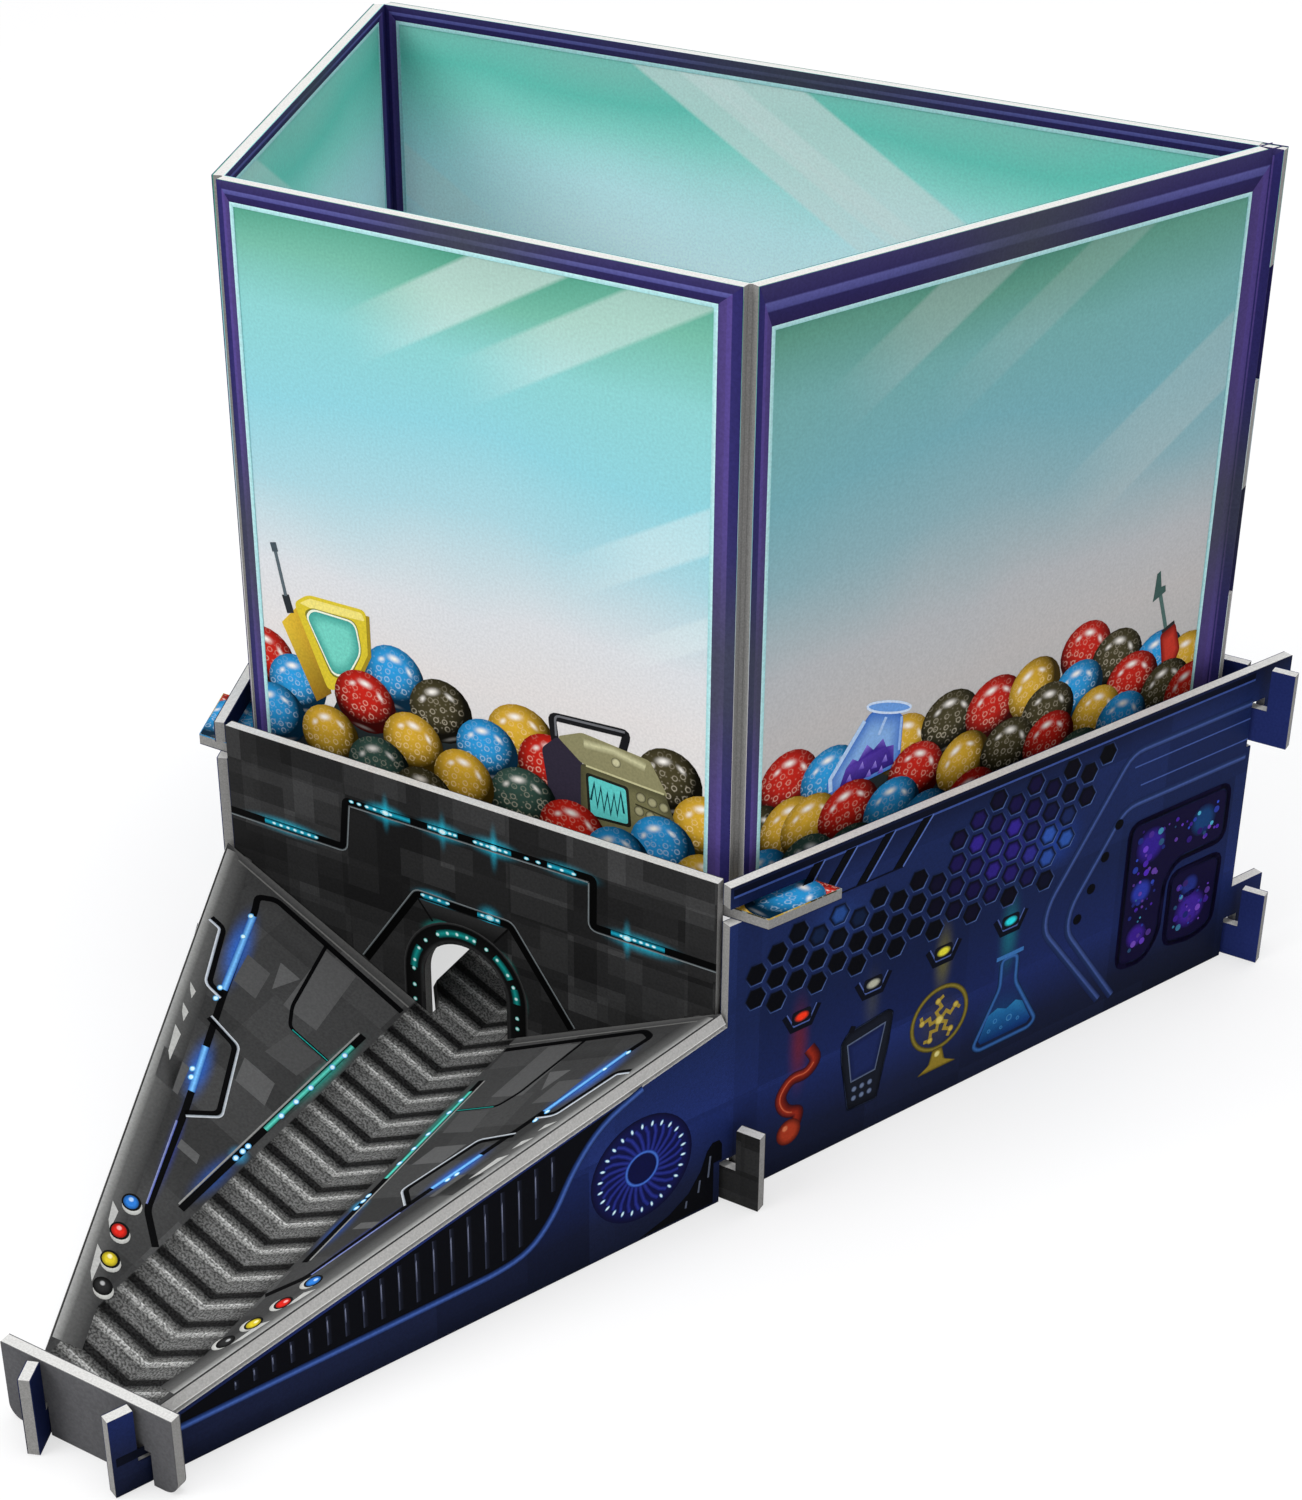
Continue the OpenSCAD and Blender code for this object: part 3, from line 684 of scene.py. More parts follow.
class InkSheet:
    # flat printed shapes, each a thin film; a coat is its height over the face, in steps of inkCoat
    def __init__(self):
        self.corners, self.shades, self.faces = [], [], []

    def film(self, points, shades, tops, coat):
        # tops are faces over the points; their undersides and outer walls close the film
        if isinstance(shades, str):
            shades = [shades] * len(points)
        first, count = len(self.corners), len(points)
        for height in (coat * inkCoat, 0.0):
            self.corners += [(x, y, height) for x, y in points]
        self.shades += [toLinear(shade) for shade in shades] * 2
        edges = set()
        for top in tops:
            ring = list(zip(top, list(top[1:]) + [top[0]]))
            if sum(points[a][0] * points[b][1] - points[b][0] * points[a][1] for a, b in ring) < 0:
                top = list(top)[::-1]
                ring = list(zip(top, top[1:] + [top[0]]))
            self.faces.append([first + i for i in top])
            self.faces.append([first + count + i for i in list(top)[::-1]])
            edges.update(ring)
        for a, b in sorted(edges):
            if (b, a) not in edges:
                self.faces.append([first + a, first + count + a, first + count + b, first + b])

    def fill(self, outline, shades, coat):
        self.film(outline, shades, [tuple(range(len(outline)))], coat)

    def mound(self, rings, coat):
        # rings run from the outside in, each (outline, shade) with as many points, and the last is filled
        size = len(rings[0][0])
        points = [point for outline, shade in rings for point in outline]
        shades = [shade for outline, shade in rings for point in outline]
        last = tuple(range(len(points) - size, len(points)))
        self.film(points, shades, stripFaces(len(rings), size, True) + [last], coat)

    def spread(self, path, offsets, shades, coat, closed=False):
        # a band along a path: one line of points for each sideways offset, each with its shade
        points = [point for offset in offsets for point in offsetPath(path, offset, closed)]
        tones = [shade for shade in shades for point in path]
        self.film(points, tones, stripFaces(len(offsets), len(path), closed), coat)

    def stroke(self, path, width, shade, coat, closed=False):
        self.spread(path, (-width / 2, width / 2), (shade, shade), coat, closed)

    def disc(self, centre, radius, middle, rim, coat, count=20, flat=1.0):
        self.mound([(circlePoints(centre, radius, count, flat=flat), rim),
                    (circlePoints(centre, radius * 0.55, count, flat=flat), middle)], coat)

    def mesh(self, name):
        mesh = bpy.data.meshes.new(name)
        mesh.from_pydata(self.corners, [], self.faces)
        shade = mesh.attributes.new("shade", "FLOAT_COLOR", "POINT")
        shade.data.foreach_set("color", [c for colour in self.shades for c in colour])
        spot = mesh.attributes.new("spot", "FLOAT_VECTOR", "POINT")
        spot.data.foreach_set("vector", [c for corner in self.corners for c in corner])
        return mesh


def settle(piece, face, body):
    # puts a piece drawn in a face's millimetres onto that face, riding its body
    piece.data.transform(face.place)
    if face.place.determinant() < 0:
        piece.data.flip_normals()
    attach(piece, body)
    return piece


def layInk(sheet, name, face, body, material):
    piece = bpy.data.objects.new(name, sheet.mesh(name))
    piece.data.materials.append(material)
    bpy.context.scene.collection.objects.link(piece)
    return settle(piece, face, body)


def makeStampTree():
    # prints one motif at every point, turned and sized by the point's own values
    tree = bpy.data.node_groups.new("stampMotif", "GeometryNodeTree")
    for name, kind in (("Geometry", "NodeSocketGeometry"), ("Motif", "NodeSocketObject"),
                       ("Ink", "NodeSocketMaterial"), ("Size", "NodeSocketFloat")):
        tree.interface.new_socket(name, in_out="INPUT", socket_type=kind)
    tree.interface.new_socket("Geometry", in_out="OUTPUT", socket_type="NodeSocketGeometry")
    given = addNode(tree, "NodeGroupInput")
    motif = addNode(tree, "GeometryNodeObjectInfo", {"Object": given.outputs["Motif"]})
    values = {name: addNode(tree, "GeometryNodeInputNamedAttribute", {"Name": name}, data_type="FLOAT")
              for name in ("turn", "wide", "tall")}
    turn = addNode(tree, "ShaderNodeCombineXYZ", {"Z": values["turn"]})
    wide, tall = (addNode(tree, "ShaderNodeMath", {0: values[name], 1: given.outputs["Size"]},
                          operation="MULTIPLY") for name in ("wide", "tall"))
    size = addNode(tree, "ShaderNodeCombineXYZ", {"X": wide, "Y": tall, "Z": 1.0})
    stamped = addNode(tree, "GeometryNodeInstanceOnPoints",
                      {"Points": given.outputs["Geometry"], "Instance": motif.outputs["Geometry"],
                       "Rotation": turn, "Scale": size})
    real = addNode(tree, "GeometryNodeRealizeInstances", {"Geometry": stamped})
    inked = addNode(tree, "GeometryNodeSetMaterial", {"Geometry": real, "Material": given.outputs["Ink"]})
    addNode(tree, "NodeGroupOutput", {"Geometry": inked})
    return tree


stampTree = makeStampTree()


def stampInk(spots, motif, name, face, body, material, size=1.0):
    # spots are (right, up, coat, turn in degrees, wide, tall, hex tone, seed)
    mesh = bpy.data.meshes.new(name)
    mesh.from_pydata([(s[0], s[1], s[2] * inkCoat) for s in spots], [], [])
    for label, values in (("turn", [math.radians(s[3]) for s in spots]), ("wide", [s[4] for s in spots]),
                          ("tall", [s[5] for s in spots])):
        mesh.attributes.new(label, "FLOAT", "POINT").data.foreach_set("value", values)
    tones = [c for s in spots for c in toLinear(s[6])[:3] + [s[7]]]
    mesh.attributes.new("tone", "FLOAT_COLOR", "POINT").data.foreach_set("color", tones)
    piece = bpy.data.objects.new(name, mesh)
    bpy.context.scene.collection.objects.link(piece)
    stamp = bpy.data.objects.new(name + "_motif", motif.mesh(name + "_motif"))
    bpy.context.scene.collection.objects.link(stamp)
    modifier = piece.modifiers.new("stamps", "NODES")
    modifier.node_group = stampTree
    given = {"Motif": stamp, "Ink": material, "Size": size}
    for item in stampTree.interface.items_tree:
        if item.in_out == "INPUT" and item.name in given:
            modifier[item.identifier] = given[item.name]
    graph = bpy.context.evaluated_depsgraph_get()
    made = bpy.data.meshes.new_from_object(piece.evaluated_get(graph), preserve_all_data_layers=True,
                                           depsgraph=graph)
    piece.modifiers.remove(modifier)
    piece.data = made
    bpy.data.objects.remove(stamp)
    return settle(piece, face, body)


def trimTo(piece, face, outline):
    # cuts a stamped print off square along a convex outline, which runs anticlockwise
    cut = bmesh.new()
    cut.from_mesh(piece.data)
    inward = face.place.to_3x3()
    for first, last in zip(outline, outline[1:] + outline[:1]):
        side = inward @ Vector((first[1] - last[1], last[0] - first[0], 0))
        found = bmesh.ops.bisect_plane(cut, geom=cut.verts[:] + cut.edges[:] + cut.faces[:], dist=1e-9,
                                       plane_co=face.place @ Vector((*first, 0)),
                                       plane_no=side.normalized(),
                                       clear_inner=True)
        rims = [e for e in found["geom_cut"] if isinstance(e, bmesh.types.BMEdge)]
        bmesh.ops.edgeloop_fill(cut, edges=rims, mat_nr=0)
    cut.to_mesh(piece.data)
    cut.free()


def screenInk():
    # printing ink: the shape's own shade, or its stamp's tone where the motif leaves it open
    material, tree = startMaterial("screenPrintedInk")
    shade, tone = (addNode(tree, "ShaderNodeAttribute", attribute_name=name) for name in ("shade", "tone"))
    colour = addNode(tree, "ShaderNodeMixRGB", {"Fac": shade.outputs["Alpha"],
                                                "Color1": tone.outputs["Color"],
                                                "Color2": shade.outputs["Color"]})
    finishPrint(tree, colour, 0.10, 0.55)
    return material


# places and lengths are shares of half an egg
eggLook = {
    "brightest": (-0.15, 0.28, 0),
    "body": [(0.0, "#ffffff"), (0.5, "#e8e8e8"), (0.8, "#a0a0a0"), (1.0, "#404040")],
    "bubbleLight": "#fff2d8",
    "seedStep": 37.0,
    # (how fine, stops from a bubble's middle outwards, strength); rings are about 1.2 mm across, dots 0.4 mm
    "bubbles": [(3.1, [(0.0, "#383838"), (0.15, "#181818"), (0.23, "#ffffff"), (0.31, "#181818"),
                       (0.36, "#000000")], 0.75),
                (5.6, [(0.0, "#ffffff"), (0.14, "#909090"), (0.24, "#000000")], 0.55)],
    # window light: (right, up, half length, half width, degrees, hex colour, strength)
    "glints": [(-0.1, 0.6, 0.38, 0.2, 4, "#fbf6ee", 1.0), (-0.48, 0.4, 0.22, 0.14, 40, "#fbf6ee", 0.8),
               (0.42, 0.42, 0.28, 0.13, -48, "#fbf6ee", 0.8), (0.1, -0.86, 0.5, 0.1, 8, "#fbf6ee", 0.14)],
}


def eggInk():
    # print of a clear egg full of bubbles: dark rim, bright middle, bubbles and window glints
    material, tree = startMaterial("bubbleEggInk")
    spot, tone = (addNode(tree, "ShaderNodeAttribute", attribute_name=name) for name in ("spot", "tone"))
    flat = addNode(tree, "ShaderNodeVectorMath", {0: spot.outputs["Vector"], 1: (1, 1, 0)},
                   operation="MULTIPLY")
    away = addNode(tree, "ShaderNodeVectorMath", {0: flat, 1: eggLook["brightest"]}, operation="SUBTRACT")
    far = addNode(tree, "ShaderNodeVectorMath", {0: away}, operation="LENGTH")
    body = addNode(tree, "ShaderNodeValToRGB", {"Fac": far.outputs["Value"]}, stops=eggLook["body"])
    colour = addNode(tree, "ShaderNodeMixRGB", {"Fac": 1.0, "Color1": tone.outputs["Color"],
                                                "Color2": body},
                     blend_type="MULTIPLY")
    seed = addNode(tree, "ShaderNodeMath", {0: tone.outputs["Alpha"], 1: eggLook["seedStep"]},
                   operation="MULTIPLY")
    shift = addNode(tree, "ShaderNodeCombineXYZ", {"X": seed, "Y": seed})
    moved = addNode(tree, "ShaderNodeVectorMath", {0: flat, 1: shift}, operation="ADD")
    light = addNode(tree, "ShaderNodeMixRGB", {"Fac": 0.5, "Color1": tone.outputs["Color"],
                                               "Color2": toLinear(eggLook["bubbleLight"])})
    inner = addNode(tree, "ShaderNodeMapRange", {"Value": far.outputs["Value"], "From Min": 1.0,
                                                 "From Max": 0.75})
    parts = addNode(tree, "ShaderNodeSeparateXYZ", {0: flat})
    low = addNode(tree, "ShaderNodeMapRange", {"Value": parts.outputs["Y"], "From Min": 0.65,
                                               "From Max": -0.1,
                                               "To Min": 0.25})
    inner = addNode(tree, "ShaderNodeMath", {0: inner, 1: low}, operation="MULTIPLY")
    for scale, stops, strength in eggLook["bubbles"]:
        bubble = addNode(tree, "ShaderNodeTexVoronoi", {"Vector": moved, "Scale": scale,
                                                        "Randomness": 0.55},
                         voronoi_dimensions="2D")
        ring = addNode(tree, "ShaderNodeValToRGB", {"Fac": bubble}, stops=stops)
        near = addNode(tree, "ShaderNodeMath", {0: inner, 1: strength}, operation="MULTIPLY")
        share = addNode(tree, "ShaderNodeMath", {0: ring, 1: near}, operation="MULTIPLY")
        colour = addNode(tree, "ShaderNodeMixRGB", {"Fac": share, "Color1": colour, "Color2": light})
    finishPrint(tree, addGlows(tree, flat, colour, eggLook["glints"]), 0.05, 0.42)
    return material


ink = screenInk()
eggPrint = eggInk()

# widths of the left, right and top bars in mm, as seen from outside (inside for an inner face)
frameBars = {
    "tank_front_outer": (2.3, 3.9, 3.2), "tank_right_outer": (2.4, 6.2, 6.4),
    "tank_left_outer": (6.2, 2.4, 6.4), "tank_back_outer": (5.0, 5.0, 5.0),
    "tank_front_inner": (2.5, 2.5, 2.5), "tank_right_inner": (2.5, 3.5, 2.7),
    "tank_left_inner": (3.0, 5.2, 2.0), "tank_back_inner": (2.7, 3.4, 2.7),
}
frameTones = {
    "side": ["#2e2a62", "#322e68", "#57488c", "#54468a", "#50427e", "#4a3e76"],
    "top": ["#3c3766", "#332d5e", "#5c5c9c", "#4e4e8c", "#2c2858", "#2b2450"],
    "slate": "#454a50",
    "steps": [0.0, 0.40, 0.44, 0.62, 0.66, 1.0],
    "line": ("#c4ecee", "#9fd4d6"),    # the pale line at the glass, and its inner edge
    "lineWidth": 0.7,
    # where along a bar its violet turns to slate, over what share of its length, and how far
    "slateAt": {"side": 0.38, "top": 0.5},
    "slateWide": 0.16,
    "slateShare": 0.75,
    "runs": 12,
}


def barTone(kind, level, along):
    slate = math.exp(-((along - frameTones["slateAt"][kind]) / frameTones["slateWide"]) ** 2)
    return blendHex(frameTones[kind][level], frameTones["slate"], frameTones["slateShare"] * slate)


def frameInk(name):
    # two side bars and a top bar, mitred where they meet; the pale line edges the glass
    face = faces[name]
    left, right, top = frameBars[name]
    sheet = InkSheet()
    count = frameTones["runs"]

    def barPoint(kind, share, along):
        low, high = left * share, face.width - right * share
        lid = face.height - top * share
        if kind == "left":
            return (low, lid * along)
        if kind == "right":
            return (high, lid * along)
        return (low + (high - low) * along, lid)

    for bar in ("left", "right", "top"):
        kind = "top" if bar == "top" else "side"
        points, shades = [], []
        for level, share in enumerate(frameTones["steps"]):
            for i in range(count + 1):
                points.append(barPoint(bar, share, i / count))
                shades.append(barTone(kind, level, i / count))
        sheet.film(points, shades, stripFaces(len(frameTones["steps"]), count + 1), 12)
    thin = frameTones["lineWidth"]
    lid, end = face.height - top, face.width - right
    inner = [(left, 0), (left, lid), (end, lid), (end, 0)]
    sheet.spread(inner, (0.1, -thin), frameTones["line"], 11)
    return sheet


eggTones = {"r": "#cc261b", "b": "#2fa0e2", "y": "#dfb036", "k": "#4a442c", "g": "#3e5a50"}
pileShade = "#232a2c"    # print behind the eggs, seen in the gaps between them
# rows of eggs from the back of the pile to the front: (right, up, tone)
eggPiles = {
    "front": ([(3, 16.5, "r"), (9.5, 13, "b"), (29.8, 19.8, "b"), (39, 16.2, "k"), (54.6, 16, "y"),
               (82.3, 16, "k"),
               (60, 12, "r"), (89.5, 9.5, "y")],
              [(23.6, 13.6, "r"), (48, 11.6, "b"), (33.2, 8.2, "y"), (4.6, 6, "b"), (55, 4.4, "g"),
               (16, 4.8, "y"),
               (43.2, 4.2, "y"), (26, 1.6, "g"), (64.5, 1.2, "r"), (81.3, 3.6, "b"), (73, -1.2, "b"),
               (35, -1.5, "k"), (90, -1, "y")]),
    "right": ([(8.8, 16, "r"), (17.4, 14, "b"), (33, 14.6, "y"), (43.2, 15.6, "k"), (53.2, 14.8, "r"),
               (62.5, 15.2, "y"), (74.2, 18.6, "r"), (82, 14.6, "k"), (73, 11.6, "b"), (92.6, 11.2, "b"),
               (100, 8.5, "y"), (66, 9.5, "k"), (2, 8, "k")],
              [(9, 7.4, "y"), (13.5, 6.6, "y"), (36, 8.4, "r"), (86.4, 9, "r"), (21.6, 6, "r"),
               (46.8, 6.4, "y"),
               (78, 5, "y"), (57, 5.6, "k"), (66.8, 3.8, "r"), (95.2, 4.6, "k"), (31, 3.2, "b"),
               (84.6, 1.6, "b"),
               (101.5, 2, "r"), (3, 0, "b"), (13, -1, "g"), (38.5, -1.8, "b"), (49, -1.4, "r"),
               (74, -2, "g"),
               (22, -2.4, "g")]),
}
eggSize = 6.2    # half an egg's length, mm
eggScatter = {"turn": 25, "long": (-0.03, 0.06), "flat": 0.94, "wide": (-0.03, 0.03)}
# three staggered rows, each (height, shift in eggs); the top row leaves some out
pileRows = {"rows": [(15.5, 0.0), (9.0, 0.5), (2.0, 0.1)], "pitch": 10.6, "scatter": 1.5, "topShare": 0.7,
            "tones": "rrbbyykg"}
# the dark ground reaches this far over and beside an egg's middle, and ends this far below its top, mm
pileGround = {"half": 6, "over": 5.5, "least": 3.0, "below": 2.2, "steps": 24, "coat": 0.6}
# coats: the back of a pile, then the pictures, then its front; each egg lies over the one behind it
pileOrder = {"back": 1.0, "front": 6.5, "step": 0.2}


def eggMotif():
    sheet = InkSheet()
    sheet.mound([(circlePoints((0, 0), 1.0, 24), "#000000"), (circlePoints((0, 0), 0.6, 24), "#000000")], 1)
    return sheet


def eggSpots(layout, seed, lowest):
    chance = random.Random(seed)
    spots = []
    for i, (right, rise, tone) in enumerate(layout):
        coat = lowest + i * pileOrder["step"]
        spots.append((right, rise, coat, chance.uniform(-eggScatter["turn"], eggScatter["turn"]),
                      1.0 + chance.uniform(*eggScatter["long"]),
                      eggScatter["flat"] + chance.uniform(*eggScatter["wide"]), eggTones[tone],
                      chance.random()))
    return spots


def mixedPile(width, seed):
    # eggs in mixed tones, for the walls that show no other picture
    chance = random.Random(seed)
    pitch, scatter = pileRows["pitch"], pileRows["scatter"]
    layout = []
    for rise, shift in pileRows["rows"]:
        for i in range(int(width / pitch) + 2):
            if rise < pileRows["rows"][0][0] or chance.random() < pileRows["topShare"]:
                layout.append(((i + shift - 0.5) * pitch + chance.uniform(-scatter, scatter),
                               rise + chance.uniform(-scatter, scatter), chance.choice(pileRows["tones"])))
    return layout


def pileInk(layout, width):
    # the dark ground that fills the gaps of a pile of eggs, a little lower than their tops
    sheet = InkSheet()
    half, steps = pileGround["half"], pileGround["steps"]
    crest = []
    for i in range(steps + 1):
        x = width * i / steps
        tops = [egg[1] + math.sqrt(1 - ((x - egg[0]) / half) ** 2) * pileGround["over"] for egg in layout
                if abs(x - egg[0]) < half]
        crest.append((x, max(tops + [pileGround["least"]]) - pileGround["below"]))
    sheet.fill([(width, 0), (0, 0)] + crest, pileShade, pileGround["coat"])
    return sheet


def stampEggs(name, layout, seed, part="back"):
    face = faces[name]
    piece = stampInk(eggSpots(layout, seed, pileOrder[part]), eggMotif(), f"{name}_eggs_{part}", face,
                     "tank",
                     eggPrint, eggSize)
    trimTo(piece, face, [(0, 0), (face.width, 0), (face.width, face.height), (0, face.height)])


for number, name in enumerate(sorted(frameBars)):
    layInk(frameInk(name), name + "_frame", faces[name], "tank", ink)
    wall = name.split("_")[1]
    if name.endswith("outer") and wall in eggPiles:
        pile = eggPiles[wall][0] + eggPiles[wall][1]
        for part, layout in zip(("back", "front"), eggPiles[wall]):
            stampEggs(name, layout, number, part)
    else:
        pile = mixedPile(faces[name].width, number)
        stampEggs(name, pile, number)
    layInk(pileInk(pile, faces[name].width), name + "_pile", faces[name], "tank", ink)
print("tank frames and eggs printed")

# the floor's two ears show eggs of the same pile; right is from the middle, up from the floor's front edge
earArt = {
    "outline": [(49.4, 0.1), (56.1, 0.1), (61.7, 13.7), (55.1, 13.7)],
    # (right, up, half width over half an egg, half length over half an egg, tone)
    "eggs": [(59.2, 14.8, 0.7, 0.6, "r"), (50.0, 1.2, 0.7, 0.6, "k"), (53.8, -1.2, 0.8, 0.62, "y"),
             (61.2, 10.6, 0.5, 0.4, "r"), (55.4, 6.8, 0.92, 1.14, "b")],
    "turn": 22.3,
}
floorMiddle = faces["floor_top"].fromMiddle()
for side, sign in (("left", -1), ("right", 1)):
    spots = [(sign * right, rise, 1 + i * pileOrder["step"], -sign * earArt["turn"], wide, long,
              eggTones[tone], 0.3 * i) for i, (right, rise, wide, long, tone) in enumerate(earArt["eggs"])]
    ear = stampInk(spots, eggMotif(), f"floor_{side}_ear_eggs", floorMiddle, "base", eggPrint,
                   eggSize)
    trimTo(ear, floorMiddle, [(sign * right, rise) for right, rise in earArt["outline"]][::sign])
print("floor ears printed")


def radioInk(sheet):
    # a yellow handheld radio, leaning, with a teal screen
    sheet.fill([(12.6, 30.4), (7.0, 24.2), (13.4, 10.8), (16.6, 13.2), (15, 20)],
               ["#c99a2a", "#e0bd3a", "#8f6a1c", "#7c5c18", "#b08628"], 4.4)
    sheet.fill(roundedPath([(9.8, 28.6), (12.8, 30.8), (24.6, 30.9), (25.2, 22.4), (22, 16), (16, 13.6)],
                           1.2, True),
               "#d8c234", 4.8)
    sheet.fill(roundedPath([(11.0, 28.8), (13.2, 30.2), (23.8, 30.3), (24.4, 28.9), (13.4, 28.4)], 0.4,
                           True),
               "#efe07c", 5.1)
    sheet.fill(roundedPath([(11.8, 27.4), (13.4, 28.6), (22.6, 28.5), (23.6, 22.8), (20.8, 17.4),
                            (17, 16.2)],
                           1.6, True), "#7c7a2c", 5.2)
    screen = roundedPath([(12.5, 26.6), (13.8, 28.1), (22.2, 28.0), (23.1, 22.8), (20.4, 18.0),
                          (17.3, 17.0)], 1.5, True)
    sheet.fill(shrunk(screen, 1.07), "#eef2dc", 5.3)
    sheet.mound([(screen, "#3f9c90"), (shrunk(screen, 0.6), "#74d0bf")], 5.4)
    sheet.stroke([(25.0, 30.0), (25.0, 22.6), (22.2, 16.8)], 0.7, "#a08a24", 5.0)
    sheet.stroke([(9.0, 26.4), (8.1, 29.6)], 1.5, "#2b2f33", 5.0)
    sheet.stroke([(8.2, 29.4), (6.5, 37.8)], 0.65, "#59656c", 5.2)
    sheet.stroke([(6.6, 37.2), (6.2, 38.8)], 1.2, "#46525a", 5.4)


def meterInk(sheet):
    # an olive wave meter with a black carrying handle
    sheet.stroke(roundedPath([(61.2, 17.2), (60.6, 21.6), (74.6, 22.4), (73.6, 18.4)], 1.0), 1.5, "#1a1a1c",
                 4.2)
    sheet.stroke(roundedPath([(61.4, 18.2), (61.2, 21.9), (74.2, 22.6)], 0.9), 0.4, "#6b6c70", 4.5)
    sheet.fill(roundedPath([(58.6, 15.2), (61.6, 18.2), (66.4, 14.8), (65.8, 2.4), (60.4, 4.4)], 0.8, True),
               "#2f2a38", 4.6)
    sheet.fill(roundedPath([(61.6, 18.2), (66.2, 20.2), (78.8, 18.8), (82.2, 13.2), (66.2, 14.6)], 0.7,
                           True),
               "#8b8763", 4.7)
    body = roundedPath([(66.0, 14.6), (81.6, 13.6), (83.8, 8.0), (83.0, 2.2), (66.0, 2.0)], 0.8, True)
    sheet.mound([(body, "#4a4832"), (shrunk(body, 0.6), "#716e4c")], 4.9)
    sheet.spread([(66.6, 18.4), (72.0, 18.6), (78.0, 17.4)], (-0.9, 0.0, 0.9),
                 ("#8b8763", "#c8c59c", "#8b8763"), 4.8)
    sheet.stroke([(67.0, 14.4), (81.4, 13.5)], 0.35, "#c0bc90", 5.1)
    sheet.stroke([(76.2, 10.1), (82.6, 9.3)], 0.3, "#3a3826", 5.1)
    sheet.fill(roundedPath([(66.9, 13.2), (74.9, 12.8), (75.5, 5.4), (67.4, 5.0)], 0.7, True), "#22221c",
               5.1)
    sheet.fill(roundedPath([(67.4, 12.7), (74.4, 12.3), (74.9, 5.9), (67.9, 5.5)], 0.6, True), "#5fc9c4",
               5.3)
    wave = [(67.9 + i * 0.62, 9.2 + (1 if i % 2 else -1) * (0.9 + 1.5 * abs(math.sin(i * 1.3))))
            for i in range(11)]
    sheet.stroke(wave, 0.42, "#123c44", 5.5)
    for row in range(2):
        for column in range(3):
            centre = (77.2 + column * 2.1 - row * 0.3, 11.6 - row * 2.6 - column * 0.3)
            sheet.disc(centre, 0.95, "#a09c78", "#3a3826", 5.3)
    sheet.disc((72.6, 16.6), 0.9, "#c8c49c", "#4a4832", 5.3)


def flaskInk(sheet):
    # a leaning laboratory flask with violet crystals in it
    glass = roundedPath([(25.6, 23.4), (16.4, 12.6), (18.0, 10.0), (31.4, 11.2), (32.4, 13.0),
                         (32.6, 20.6)], 1.4, True)
    sheet.mound([(glass, "#3a6cc0"), (shrunk(glass, 0.55), "#86b0e4")], 4.4)
    sheet.fill([(20.6, 14.4), (22.0, 15.8), (23.2, 15.0), (25.0, 17.4), (26.4, 16.0), (28.4, 17.4),
                (29.2, 15.6),
                (30.8, 15.4), (31.0, 11.8), (19.2, 10.8)],
               ["#5a3fa8", "#7a60c8", "#4a2f98", "#8a72d8", "#3a2288", "#7a62c8", "#4a3298", "#6a50b8",
                "#2a1a70",
                "#221466"], 4.8)
    for x, y in ((21.4, 12.4), (24.0, 13.8), (26.8, 13.0), (29.0, 13.4), (25.6, 11.8), (28.2, 11.6)):
        sheet.fill([(x - 0.7, y - 0.5), (x + 0.6, y - 0.6), (x + 0.2, y + 0.8)],
                   ["#4a34a0", "#6a54c0", "#a894e8"], 5.0)
    sheet.stroke([(24.2, 22.0), (17.4, 13.6), (17.6, 11.2)], 0.8, "#b4d0f2", 5.2)
    sheet.stroke([(28.8, 21.2), (27.4, 18.4)], 0.6, "#a8c6ee", 5.2)
    sheet.stroke([(32.2, 20.2), (32.0, 14.0)], 0.5, "#96b8ea", 5.2)
    rim = circlePoints((29.4, 22.8), 5.0, 22, flat=0.2)
    turn = Matrix.Rotation(math.radians(-19), 2)
    rim = [tuple(Vector((29.4, 22.8)) + turn @ (Vector(p) - Vector((29.4, 22.8)))) for p in rim]
    sheet.fill(rim, "#6d9ee0", 5.3)
    sheet.stroke(rim, 0.4, "#cfe0f6", 5.5, True)


def driverInk(sheet):
    # a screwdriver standing in the eggs, handle down
    sheet.stroke([(94.2, 16.0), (91.4, 24.6)], 0.8, "#4f6b66", 4.4)
    sheet.fill([(89.8, 23.2), (92.8, 24.4), (92.6, 25.6), (91.6, 25.6), (91.0, 28.8), (90.2, 28.4),
                (90.0, 24.8)],
               "#3f5a55", 4.6)
    handle = roundedPath([(92.6, 16.0), (96.2, 17.4), (98.2, 11.6), (96.8, 8.2), (94.0, 9.0)], 0.8, True)
    sheet.mound([(handle, "#6e120e"), (shrunk(handle, 0.5), "#c43a2c")], 4.8)
    sheet.stroke([(93.0, 16.4), (96.0, 17.5)], 0.7, "#2c2c2c", 5.0)


for wall, pictures in (("front", (radioInk, meterInk)), ("right", (flaskInk, driverInk))):
    for picture in pictures:
        drawing = InkSheet()
        picture(drawing)
        layInk(drawing, f"tank_{wall}_{picture.__name__[:-3]}", faces[f"tank_{wall}_outer"], "tank",
               ink)
print("tank pictures printed")


def lampMotif(core="#dffcff"):
    # a dot that takes the stamp's tone, but for a core of its own shade
    around = 12
    sheet = InkSheet()
    sheet.mound([(circlePoints((0, 0), 1.0, around), "#000000"),
                 (circlePoints((0, 0), 0.55, around), core or "#000000")], 1)
    for k, shade in enumerate(sheet.shades):
        if k % (2 * around) < around or not core:
            shade[3] = 0.0    # open to the stamp's tone
    return sheet


def lampSpots(places, tone, coat, wide=0.5, tall=0.35):
    return [(x, y, coat, 0, wide, tall, tone, 0.0) for x, y in places]


